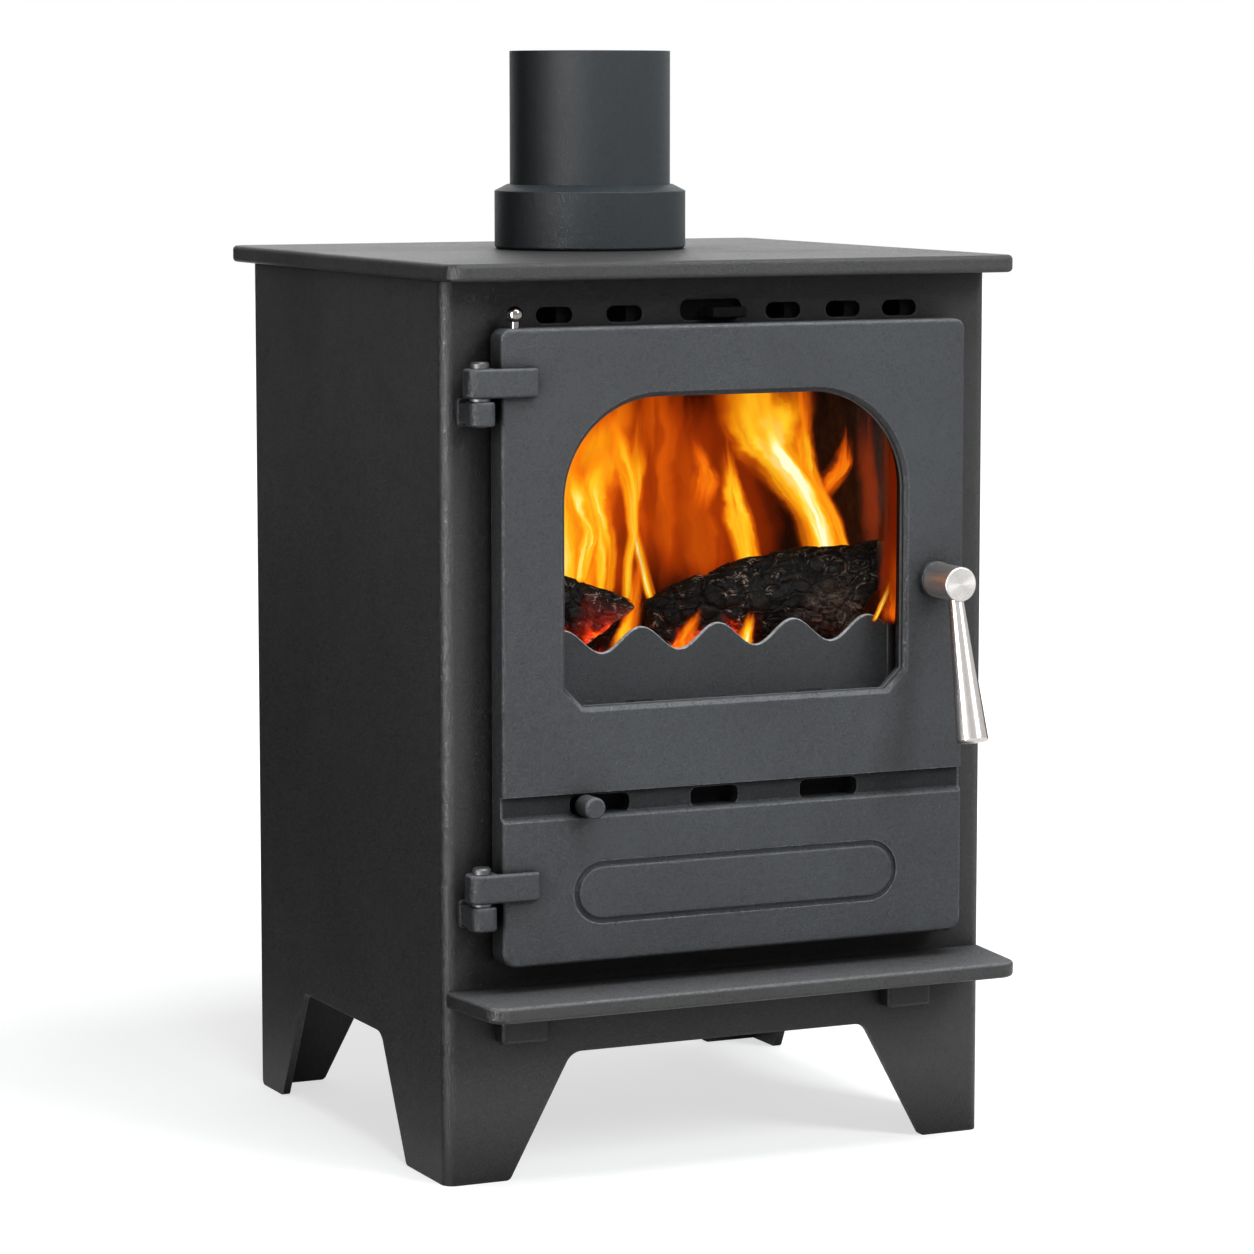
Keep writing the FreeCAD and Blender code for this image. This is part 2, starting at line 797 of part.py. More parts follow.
def handle_boss():
    length = handle_boss_reach - handle_collar_length - slack
    y = door_front_y - handle_boss_reach
    solid = rod(handle_boss_radius, length, handle_x, y, handle_z, ALONG_Y)
    solid = soften(solid, "Y", y, handle_boss_edge)
    solid = solid.cut(rod(spindle_radius + running_fit, spindle_in_boss + overrun, handle_x,
                          y + length - spindle_in_boss, handle_z, ALONG_Y))
    seat = turned([(0, 0), (0, bar_top_radius + running_fit), (bar_length, bar_top_radius + running_fit),
                   (bar_length, 0)], handle_x, bar_root_y(), handle_z, bar_direction())
    return solid.cut(seat)


def bar_root_y():
    return door_front_y - bar_root_reach


def bar_direction():
    return FreeCAD.Vector(0, -math.sin(bar_lean), -math.cos(bar_lean))


def handle_bar():
    # A taper that grows towards its rounded lower end; its neck sits in the boss.
    neck = (handle_boss_radius + bar_top_radius * math.sin(bar_lean)) / math.cos(bar_lean)
    profile = [(0, 0), (0, bar_top_radius), (neck, bar_top_radius),
               (bar_length - bar_edge, bar_end_radius), (bar_length, bar_end_radius - bar_edge),
               (bar_length, 0)]
    points = [FreeCAD.Vector(radius, 0, along) for along, radius in profile]
    edges = [Part.LineSegment(points[i], points[i + 1]).toShape() for i in range(3)]
    turn = math.sqrt(2) / 2 * bar_edge
    middle = FreeCAD.Vector(bar_end_radius - bar_edge + turn, 0, bar_length - bar_edge + turn)
    edges.append(Part.Arc(points[3], middle, points[4]).toShape())
    edges.append(Part.LineSegment(points[4], points[5]).toShape())
    edges.append(Part.LineSegment(points[5], points[0]).toShape())
    solid = Part.Face(Part.Wire(edges)).revolve(FreeCAD.Vector(0, 0, 0), ALONG_Z, 360)
    solid.Placement = FreeCAD.Placement(FreeCAD.Vector(handle_x, bar_root_y(), handle_z),
                                        FreeCAD.Rotation(ALONG_Z, bar_direction()))
    return solid


def spindle_span():
    # Front and back ends of the latch spindle.
    front = door_front_y - handle_collar_length - slack - spindle_in_boss
    back = tongue_y + tongue_thickness + latch_nut_height + latch_nut_end
    return front, back


def latch_spindle():
    front, back = spindle_span()
    return rod(spindle_radius, back - front, handle_x, front, handle_z, ALONG_Y)


def latch_tongue():
    hub = rod(tongue_hub_radius, tongue_thickness, handle_x, tongue_y, handle_z, ALONG_Y)
    arm = slab("xz", tongue_y, tongue_thickness,
               [(handle_x, handle_z - tongue_width / 2, 0),
                (handle_x + tongue_length, handle_z - tongue_width / 2, tongue_width / 4),
                (handle_x + tongue_length, handle_z + tongue_width / 2, tongue_width / 4),
                (handle_x, handle_z + tongue_width / 2, 0)])
    hole = rod(spindle_radius + running_fit, tongue_thickness + 2 * overrun, handle_x, tongue_y - overrun,
               handle_z, ALONG_Y)
    return hub.fuse(arm).removeSplitter().cut(hole)


def latch_nut():
    radius = latch_nut_flats / math.sqrt(3)
    corners = []
    for i in range(6):
        turn = math.radians(60 * i)
        corners.append((handle_x + radius * math.cos(turn), handle_z + radius * math.sin(turn), 0))
    level = tongue_y + tongue_thickness
    solid = slab("xz", level, latch_nut_height, corners)
    hole = spindle_radius + running_fit
    return solid.cut(rod(hole, latch_nut_height + 2 * overrun, handle_x, level - overrun, handle_z, ALONG_Y))


def latch_box():
    # A closed box behind the latch hole; its rim is what the tongue draws against.
    outer = slab("xz", inner_front_y, latch_box_depth, latch_slot(sheet))
    return outer.cut(slab("xz", inner_front_y - overrun, latch_box_depth - sheet + overrun, latch_slot(0)))


def primary_air_slide():
    # The plate behind the door's draught slots: shut at the left end of its travel.
    travel = primary_travel_back + primary_travel_out
    spans = primary_spans()
    left = rope_play + primary_travel_back - opening_half_width
    right = spans[-1][1] + primary_travel_back + slack
    level = door_back_y + slack
    half = primary_slide_height / 2
    solid = slab("xz", level, primary_slide_thickness,
                 rect(left, right, channel_middle - half, channel_middle + half, primary_slot_radius / 2))
    tools = []
    for start, end in spans[1:]:
        shut = start + primary_travel_back - travel
        tools.append(slab("xz", level - overrun, primary_slide_thickness + 2 * overrun,
                          rect(shut, shut + travel, channel_middle - primary_slot_height / 2,
                               channel_middle + primary_slot_height / 2, primary_slot_radius)))
    return solid.cut(tools)


def knob_x():
    return primary_spans()[0][0] + knob_stem_radius + knob_end_play + primary_travel_back


def primary_air_knob():
    # A turned knob whose stem passes through the first slot to the slide.
    back = door_back_y + slack
    head_back = door_front_y + knob_sink
    stem = back - head_back
    profile = [(0, 0), (0, knob_stem_radius), (stem, knob_stem_radius), (stem, knob_radius),
               (stem + knob_length - knob_edge, knob_radius), (stem + knob_length, knob_radius - knob_edge),
               (stem + knob_length, 0)]
    return turned(profile, knob_x(), back, channel_middle, -ALONG_Y)


def guide(x0, x1, level, thickness, edge_z, way, base):
    # A strip with a lip that holds the edge of a slide; way is 1 above it and -1 below it.
    rise = thickness + 2 * slack
    foot = edge_z + way * slack
    far = foot + way * base
    strip = block(x0, x1, level, level + rise + guide_lip, min(foot, far), max(foot, far))
    tip = edge_z - way * guide_lap
    lip = block(x0, x1, level + rise, level + rise + guide_lip, min(tip, foot), max(tip, foot))
    return strip.fuse(lip).removeSplitter()


def primary_air_guide(way):
    edge = channel_middle + way * primary_slide_height / 2
    reach = opening_half_width - rope_play
    return guide(-reach, reach, door_back_y, primary_slide_thickness, edge, way, guide_base)


def airwash_slide():
    # The sliding plate with its finger tab: open at the right end of its travel.
    level = inner_front_y + slack
    half = airwash_slide_height / 2
    reach = airwash_slide_half_width
    corners = rect(-reach, reach, airwash_z - half, airwash_z + half, airwash_slot_height / 4)
    solid = slab("xz", level, sheet, corners)
    tools = []
    for share in airwash_slot_centre_shares:
        left = body_width * share - airwash_slot_length / 2
        tools.append(slab("xz", level - overrun, sheet + 2 * overrun,
                          rect(left, left + airwash_travel, airwash_z - airwash_slot_height / 2,
                               airwash_z + airwash_slot_height / 2, airwash_slot_height / 4)))
    finger_right = body_width * finger_slot_centre_share + finger_slot_length / 2 - finger_tab_right_play
    tab_front = front_y - finger_tab_reach
    tab = slab("xz", tab_front, level - tab_front,
               rect(finger_right - finger_tab_length, finger_right, airwash_z - finger_tab_height / 2,
                    airwash_z + finger_tab_height / 2, finger_tab_edge))
    tab = soften(tab, "Y", tab_front, finger_tab_edge)
    return solid.cut(tools).fuse(tab).removeSplitter()


def airwash_guide(way):
    edge = airwash_z + way * airwash_slide_height / 2
    return guide(-airwash_slide_half_width, airwash_slide_half_width, inner_front_y, sheet, edge, way,
                 airwash_guide_base)


def airwash_duct():
    # A folded hood behind the slots that turns the air down over the glass.
    half = airwash_slide_half_width + airwash_travel + duct_margin
    back = inner_front_y + duct_depth
    top = body_height - duct_top_drop
    low = body_height - duct_bottom_drop
    corners = [(inner_front_y, top, 0), (inner_front_y, top - sheet, 0), (back - sheet, top - sheet, 0),
               (back - sheet, low, 0), (back, low, 0), (back, top, 0)]
    return slab("yz", -half, 2 * half, corners)


def side_brick(side):
    outer = side * (half_width - plate)
    inner = outer - side * brick
    return slab("xy", grate_level, baffle_z - grate_level,
                rect(min(outer, inner), max(outer, inner), front_y + brick_front, inner_back_y, brick_edge))


def rear_brick():
    edge = half_width - plate - brick - slack
    return slab("xy", grate_level, baffle_z - rear_brick_drop - grate_level,
                rect(-edge, edge, back_y - plate - brick, inner_back_y, brick_edge))


def baffle_plate():
    # Rests on the side bricks, with a lip along its front edge.
    edge = half_width - plate - baffle_side_play
    front = front_y + baffle_front
    back = inner_back_y
    low = baffle_z
    corners = [(front, low, 0), (back, low, 0), (back, low + plate, 0), (front + plate, low + plate, 0),
               (front + plate, low + baffle_lip, 0), (front, low + baffle_lip, 0)]
    return slab("yz", -edge, 2 * edge, corners)


def grate_rail(side):
    # An angle along the side wall that carries the grate bed.
    outer = side * (half_width - plate)
    inner = outer - side * rail_width
    top = bed_low
    corners = [(outer, top - rail_height, 0), (outer, top, 0), (inner, top, 0), (inner, top - sheet, 0),
               (outer - side * sheet, top - sheet, 0), (outer - side * sheet, top - rail_height, 0)]
    return slab("xz", front_y + brick_front, body_depth - plate - brick_front, corners)


def grate_bed():
    # The cast bed: a stepped hole holds the riddling grate, and two upstands hold the fuel guard.
    edge = half_width - plate - slack
    solid = block(-edge, edge, front_y + bed_front, inner_back_y, bed_low, grate_level)
    front = front_y + bed_hole_front
    back = back_y - bed_hole_back_margin
    half = bed_hole_half_width
    ledge_z = bed_low + bed_ledge_thickness
    upper = block(-half, half, front - riddle_travel, back, ledge_z, grate_level + overrun)
    lower = block(-half, half, front + bed_ledge, back - bed_ledge, bed_low - overrun, grate_level)
    half = riddle_eye_thickness
    ledge_end = front + bed_ledge + overrun
    slot = block(-half, half, front - riddle_travel, ledge_end, bed_low - overrun, grate_level)
    solid = solid.cut([upper, lower, slot])
    rest_y = front_y + guard_setback + guard_thickness + slack
    rests = []
    for side in (-1, 1):
        x = side * guard_rest_spread
        rests.append(block(x - guard_rest_length / 2, x + guard_rest_length / 2, rest_y,
                           rest_y + guard_rest_thickness, grate_level, grate_level + guard_rest_height))
    return solid.fuse(rests).removeSplitter()


def riddle_grate():
    # A sliding grid of tapered bars, with a pull under its front edge.
    low = bed_low + bed_ledge_thickness + slack
    front = front_y + bed_hole_front + slack
    back = back_y - bed_hole_back_margin - slack
    half = bed_hole_half_width - slack
    solid = block(-half, half, front, front + riddle_end, low, grate_level)
    solid = solid.fuse(block(-half, half, back - riddle_end, back, low, grate_level))
    pitch = (2 * half - riddle_bar_top) / (riddle_bar_count - 1)
    bars = []
    for i in range(riddle_bar_count):
        x = i * pitch + riddle_bar_top / 2 - half
        corners = [(x - riddle_bar_foot / 2, low, 0), (x + riddle_bar_foot / 2, low, 0),
                   (x + riddle_bar_top / 2, grate_level, 0), (x - riddle_bar_top / 2, grate_level, 0)]
        bars.append(slab("xz", front, back - front, corners))
    return solid.fuse(bars + riddle_pull(front, low)).removeSplitter()


def riddle_pull(front, low):
    # A round pull with an eye at its end, hung from the grid under the bed.
    pull_z = bed_low - riddle_pull_drop
    half = riddle_eye_thickness / 2
    hanger = block(-half, half, front, front + riddle_end, pull_z - riddle_pull_radius, low + slack)
    eye_y = front_y + riddle_pull_front + riddle_eye_radius
    bar = rod(riddle_pull_radius, front + riddle_end - eye_y, 0, eye_y, pull_z, ALONG_Y)
    eye = rod(riddle_eye_radius, riddle_eye_thickness, -half, eye_y, pull_z, ALONG_X)
    hole = rod(riddle_eye_hole, 4 * overrun, -2 * overrun, eye_y, pull_z, ALONG_X)
    return [hanger, bar.cut(hole), eye.cut(hole)]


def fuel_guard():
    # A plate with a wavy top edge that keeps the fuel off the glass.
    half = guard_pitch * guard_waves / 2
    corners = [(-half, grate_level, 0), (half, grate_level, 0)]
    for i in range(2 * guard_waves + 1):
        x = half - i * guard_pitch / 2
        crest = i % 2 == 1
        radius = guard_pitch * (guard_crest_radius_share if crest else guard_trough_radius_share)
        if i in (0, 2 * guard_waves):
            radius = 0
        corners.append((x, guard_tip(crest), radius))
    return slab("xz", front_y + guard_setback, guard_thickness, corners)


def guard_tip(crest):
    # Height of the wave's sharp corner, so that its rounded edge reaches the crest or trough.
    overshoot = (guard_crest_rise - guard_trough_rise) / 4
    return grate_level + (guard_crest_rise + overshoot if crest else guard_trough_rise - overshoot)


def ash_pan():
    # A folded tray with a grip lip along its front.
    front = front_y + pan_front
    back = back_y - pan_back_margin
    tray = slab("xy", floor_top, pan_height, rect(-pan_half_width, pan_half_width, front, back, pan_corner))
    half = pan_half_width - pan_wall
    hollow = rect(-half, half, front + pan_wall, back - pan_wall, pan_corner - pan_wall)
    inside = slab("xy", floor_top + pan_wall, pan_height, hollow)
    top = floor_top + pan_height
    lip = front - pan_grip_depth
    low = top - pan_grip_drop
    grip = [(front, top, 0), (lip, top, 0), (lip, low, 0), (lip + pan_wall, low, 0),
            (lip + pan_wall, top - pan_wall, 0), (front, top - pan_wall, 0)]
    return tray.cut(inside).fuse(slab("yz", -pan_grip_width / 2, pan_grip_width, grip)).removeSplitter()


os.makedirs("parts", exist_ok=True)
save("front_header", front_header())
save("left_front_stile", front_stile(-1))
save("right_front_stile", front_stile(1))
save("front_skirt", front_skirt())
save("left_side_plate", side_plate(-1))
save("right_side_plate", side_plate(1))
save("back_plate", back_plate())
save("top_plate", top_plate())
save("floor_plate", floor_plate())
save("flue_collar", flue_collar())
save("flue_pipe", flue_pipe())
save("hearth_shelf", hearth_shelf())
save("shelf_brackets", shelf_bracket(-1), shelf_bracket(1))
save("hinge_lugs", *[hinge_lug(bottom) for bottom in strap_bottoms])
save("hinge_pins", *[hinge_pin(bottom) for bottom in strap_bottoms],
     *[hinge_washer(bottom) for bottom in strap_bottoms])
save("latch_box", latch_box())
save("airwash_duct", airwash_duct())
save("airwash_guides", airwash_guide(1), airwash_guide(-1))
save("left_fire_brick", side_brick(-1))
save("right_fire_brick", side_brick(1))
save("rear_fire_brick", rear_brick())
save("baffle_plate", baffle_plate())
save("grate_rails", grate_rail(-1), grate_rail(1))
save("grate_bed", grate_bed())
save("fuel_guard", fuel_guard())
save("ash_pan", ash_pan())
save("riddle_grate", riddle_grate())
save("airwash_slide", airwash_slide())
save("door_casting", door_casting())
save("door_glass", door_glass())
save("glass_gasket", glass_gasket())
save("glass_clips", *[glass_clip(x, z) for x, z in clip_places()])
save("glass_screws", *[glass_screw(x, z) for x, z in clip_places()])
save("door_rope_seal", door_rope_seal())
save("hinge_straps", *[hinge_strap(bottom) for bottom in strap_bottoms])
save("door_ball_stud", door_ball_stud())
save("handle_collar", handle_collar())
save("primary_air_guides", primary_air_guide(1), primary_air_guide(-1))
save("primary_air_slide", primary_air_slide())
save("primary_air_knob", primary_air_knob())
save("handle_boss", handle_boss())
save("handle_bar", handle_bar())
save("latch_spindle", latch_spindle())
save("latch_tongue", latch_tongue())
save("latch_nut", latch_nut())
print("front plate face at y =", round(front_y, 3))
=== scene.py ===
import bpy
import bmesh
import json
import math
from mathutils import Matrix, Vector, noise


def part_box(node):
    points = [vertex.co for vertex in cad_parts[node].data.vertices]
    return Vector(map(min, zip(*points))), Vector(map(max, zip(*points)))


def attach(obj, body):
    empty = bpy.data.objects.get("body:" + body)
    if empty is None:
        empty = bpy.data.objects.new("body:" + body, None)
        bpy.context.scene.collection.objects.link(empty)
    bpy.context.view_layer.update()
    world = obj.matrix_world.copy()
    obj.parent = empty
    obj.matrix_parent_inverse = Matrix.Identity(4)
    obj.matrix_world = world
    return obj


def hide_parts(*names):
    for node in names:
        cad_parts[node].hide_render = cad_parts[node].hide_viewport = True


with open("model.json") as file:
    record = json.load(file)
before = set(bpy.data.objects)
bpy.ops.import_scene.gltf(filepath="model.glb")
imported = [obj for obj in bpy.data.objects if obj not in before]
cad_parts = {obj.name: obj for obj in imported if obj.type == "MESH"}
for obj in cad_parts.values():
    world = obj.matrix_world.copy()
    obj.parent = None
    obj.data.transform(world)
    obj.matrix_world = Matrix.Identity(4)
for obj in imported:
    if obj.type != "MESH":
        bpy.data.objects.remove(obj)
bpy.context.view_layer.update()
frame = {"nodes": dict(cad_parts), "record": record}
nodes = frame["nodes"]
scene = bpy.context.scene
bodyOf = {node: body for body, members in frame["record"]["behaviour"]["bodies"].items() for node in members}
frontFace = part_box("front_skirt")[0].y      # depths in the firebox are measured from here
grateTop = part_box("riddle_grate")[1].z
fullTurn = 2 * math.pi


# node tree helpers: a value is a number, a colour, a vector or the socket of another node
def give(node, values):
    for key, value in values.items():
        socket = node.inputs[key]
        if isinstance(value, bpy.types.NodeSocket):
            node.id_data.links.new(value, socket)
        else:
            socket.default_value = (*value, 1.0) if socket.type == "RGBA" else value


def addNode(tree, kind, values=None, **settings):
    node = tree.nodes.new(kind)
    for key, value in settings.items():
        setattr(node, key, value)
    give(node, values or {})
    return node


def startMaterial(name):
    material = bpy.data.materials.new(name)
    material.use_nodes = True
    tree = material.node_tree
    tree.nodes.clear()
    shader = addNode(tree, "ShaderNodeBsdfPrincipled")
    addNode(tree, "ShaderNodeOutputMaterial", {"Surface": shader.outputs["BSDF"]})
    return material, tree, shader


def maths(operation, first, second=0.0, clamp=False):
    tree = (first if isinstance(first, bpy.types.NodeSocket) else second).id_data
    node = addNode(tree, "ShaderNodeMath", {0: first, 1: second}, operation=operation, use_clamp=clamp)
    return node.outputs[0]


def times(first, second, clamp=False):
    return maths("MULTIPLY", first, second, clamp)


def plus(first, second):
    return maths("ADD", first, second)


def minus(first, second, clamp=False):
    return maths("SUBTRACT", first, second, clamp)


def unsigned(value):
    return maths("ABSOLUTE", value)


def offMiddle(value):
    return minus(value, 0.5)      # a noise lies about 0.5


def vectorMath(operation, first, second=None, scale=None):
    values = {key: value for key, value in ((0, first), (1, second), ("Scale", scale)) if value is not None}
    node = addNode(first.id_data, "ShaderNodeVectorMath", values, operation=operation)
    return node.outputs["Value" if operation in ("DOT_PRODUCT", "LENGTH") else "Vector"]


def axes(vector):
    return addNode(vector.id_data, "ShaderNodeSeparateXYZ", {0: vector}).outputs


def spread(value, low, high, newLow=0.0, newHigh=1.0, soft=False):
    return addNode(value.id_data, "ShaderNodeMapRange", {0: value, 1: low, 2: high, 3: newLow, 4: newHigh},
                   interpolation_type="SMOOTHSTEP" if soft else "LINEAR").outputs[0]


def mixColour(amount, first, second):
    node = addNode(amount.id_data, "ShaderNodeMix", {0: amount, 6: first, 7: second}, data_type="RGBA")
    return node.outputs[2]


def ramp(value, stops):
    node = addNode(value.id_data, "ShaderNodeValToRGB", {0: value})
    elements = node.color_ramp.elements
    while len(elements) < len(stops):
        elements.new(0.5)
    for element, (place, colour) in zip(elements, stops):
        element.position = place
        element.color = (*colour, 1.0)
    return node.outputs[0]


def noiseAt(where, scale, detail=3.0, rough=0.55, twist=0.0):
    node = addNode(where.id_data, "ShaderNodeTexNoise", {
        "Vector": where, "Scale": scale, "Detail": detail, "Roughness": rough, "Distortion": twist})
    return node.outputs["Fac"]


def attribute(tree, name):
    return addNode(tree, "ShaderNodeAttribute", attribute_name=name).outputs["Fac"]


def faceNormal(tree):
    return addNode(tree, "ShaderNodeNewGeometry").outputs["Normal"]


def objectPlace(tree, size=(1, 1, 1), turn=(0, 0, 0)):
    place = addNode(tree, "ShaderNodeTexCoord").outputs["Object"]
    mapping = addNode(tree, "ShaderNodeMapping", {"Vector": place, "Scale": size, "Rotation": turn})
    return mapping.outputs["Vector"]


def roughen(shader, height, depth, strength=1.0, normal=None):
    bump = addNode(shader.id_data, "ShaderNodeBump", {
        "Strength": strength, "Distance": depth, "Height": height})
    if normal is not None:
        give(bump, {"Normal": normal})
    give(shader, {"Normal": bump.outputs["Normal"]})


edgeSamples = 6


# the edge mask: how far the rounded normal turns from the face's own; the lighter edges it gives are partly
# scuffed paint and partly a painted highlight
def edgeScuffAndHighlight(tree, radius):
    rounded = addNode(tree, "ShaderNodeBevel", {"Radius": radius}, samples=edgeSamples).outputs["Normal"]
    return rounded, minus(1.0, vectorMath("DOT_PRODUCT", rounded, faceNormal(tree)), True)


# stove paint: matt and finely wrinkled, a little lighter along the edges (partly scuffed paint, partly a
# painted highlight), sooted inside the seal; painted shade darkens corners and recesses, and on some paints a
# painted highlight lightens faces that look up
paintLooks = {
    "stovePaint": {"dark": (0.0225, 0.0221, 0.0219), "light": (0.0440, 0.0434, 0.0434),
        "scuffAndHighlightColour": (0.170, 0.171, 0.176), "grain": 290, "grainDepth": 0.00026, "rough": (0.34, 0.48),
        "edge": 0.0020, "scuffAndHighlightShare": 0.75, "soot": 0.9, "shine": 0.28, "paintedShade": 0.060},
    "castPaint": {"dark": (0.0200, 0.0216, 0.0237), "light": (0.0470, 0.0512, 0.0566),
        "scuffAndHighlightColour": (0.290, 0.302, 0.319), "grain": 270, "grainDepth": 0.00042, "rough": (0.34, 0.50),
        "edge": 0.0022, "scuffAndHighlightShare": 0.95, "soot": 0.9, "shine": 0.28, "paintedShade": 0.030, "channel": 0.52,
        "ash": (0.120, 0.125, 0.133)},
    # the shelf: the stove paint a little lighter, with a painted highlight on its top and edges
    "shelfPaintLit": {"dark": (0.0240, 0.0238, 0.0240), "light": (0.0460, 0.0457, 0.0462),
        "scuffAndHighlightColour": (0.190, 0.192, 0.198), "grain": 290, "grainDepth": 0.00026, "rough": (0.34, 0.48),
        "edge": 0.0022, "scuffAndHighlightShare": 0.95, "shine": 0.28, "paintedShade": 0.060, "ash": (0.125, 0.126, 0.130)},
    "guardPaint": {"dark": (0.030, 0.032, 0.0345), "light": (0.056, 0.0600, 0.0650),
        "scuffAndHighlightColour": (0.200, 0.208, 0.220), "grain": 270, "grainDepth": 0.00050, "rough": (0.46, 0.64),
        "edge": 0.0022, "scuffAndHighlightShare": 0.6, "ash": (0.520, 0.530, 0.550)},
    "clipPaint": {"dark": (0.016, 0.017, 0.0185), "light": (0.026, 0.028, 0.030),
        "scuffAndHighlightColour": (0.030, 0.032, 0.034), "grain": 270, "grainDepth": 0.00040, "rough": (0.56, 0.70),
        "edge": 0.0010, "scuffAndHighlightShare": 0.2, "shine": 0.1},
    "fluePaint": {"dark": (0.0150, 0.0180, 0.0205), "light": (0.0255, 0.0312, 0.0355),
        "scuffAndHighlightColour": (0.090, 0.101, 0.111), "grain": 480, "grainDepth": 0.00014, "rough": (0.40, 0.52),
        "edge": 0.0016, "scuffAndHighlightShare": 0.6, "shine": 0.20},
    "darkPaint": {"dark": (0.0030, 0.0030, 0.0031), "light": (0.0052, 0.0053, 0.0055),
        "scuffAndHighlightColour": (0.014, 0.0145, 0.015), "grain": 330, "grainDepth": 0.00020, "rough": (0.55, 0.70),
        "edge": 0.0012, "scuffAndHighlightShare": 0.4, "shine": 0.05},
    "grateIron": {"dark": (0.018, 0.016, 0.015), "light": (0.060, 0.048, 0.040),
        "scuffAndHighlightColour": (0.110, 0.090, 0.075), "grain": 210, "grainDepth": 0.00060, "rough": (0.66, 0.86),
        "edge": 0.0020, "scuffAndHighlightShare": 0.8},
}
# the make-up of every paint: what adds to its tone and relief, and where the scuffed and highlit edges, the
# painted highlight on faces that look up and the painted shade set in
# here and below a noise is a scale, detail, roughness and twist, and a relief is a depth and a strength
paintMake = {"twist": 2.2, "speck": 3.6, "speckDetail": (2.0, 0.5), "cloud": (6.5, 3.0, 0.6, 0.4),
             "wrinkle": 0.13, "cloudTone": 0.40, "grainTone": 0.70, "tone": (0.36, 0.74),
             "gloss": (0.35, 0.75), "scuffAndHighlight": (0.015, 0.22), "scuffAndHighlightGrain": (0.28, 0.60), "dustAndUpLight": (0.22, 0.70),
             "upLightGrain": (0.25, 0.55), "paintedShade": (0.20, 0.95, 0.12, 1.0), "shine": 0.18, "wrinkleRise": 0.55,
             "grainRise": 0.35, "speckRise": 0.20}
# where soot lies inside the seal; its colour is also the colour the painted shade darkens to
sootAndShadePlace = {"halfWidth": 0.145, "middle": 0.501, "halfHeight": 0.101, "front": -0.0175, "back": 0.04,
             "blur": 0.004, "colour": (0.0050, 0.0042, 0.0038)}
unshadedPlace = {**sootAndShadePlace, "middle": 0.364, "halfHeight": 0.036}      # beside the guard, where the painted shade is left out
# painted shade in the draught channel across the door, as under its upper lip; depths are from the front face
channelShadePlace = {"halfWidth": 0.187, "middle": 0.28025, "halfHeight": 0.0125, "lip": -0.0285, "floor": -0.0250,
                "back": -0.0200}


def shareInside(where, zone):
    # how far a point lies inside the line of the door's seal, near the front plate
    x, y, z = axes(where)
    wide, tall, blur = zone["halfWidth"], zone["halfHeight"], zone["blur"]
    across = spread(unsigned(x), wide - blur, wide, 1.0, 0.0)
    height = spread(unsigned(minus(z, zone["middle"])), tall - blur, tall, 1.0, 0.0)
    behind = maths("GREATER_THAN", y, frontFace + zone["front"])
    before = maths("LESS_THAN", y, frontFace + zone["back"])
    return times(times(across, height), times(behind, before))


def channelShadeShare(where):
    x, y, z = axes(where)
    deep = spread(y, frontFace + channelShadePlace["lip"], frontFace + channelShadePlace["floor"])
    before = maths("LESS_THAN", y, frontFace + channelShadePlace["back"])
    across = maths("LESS_THAN", unsigned(x), channelShadePlace["halfWidth"])
    height = maths("LESS_THAN", unsigned(minus(z, channelShadePlace["middle"])), channelShadePlace["halfHeight"])
    return times(times(deep, before), times(across, height))


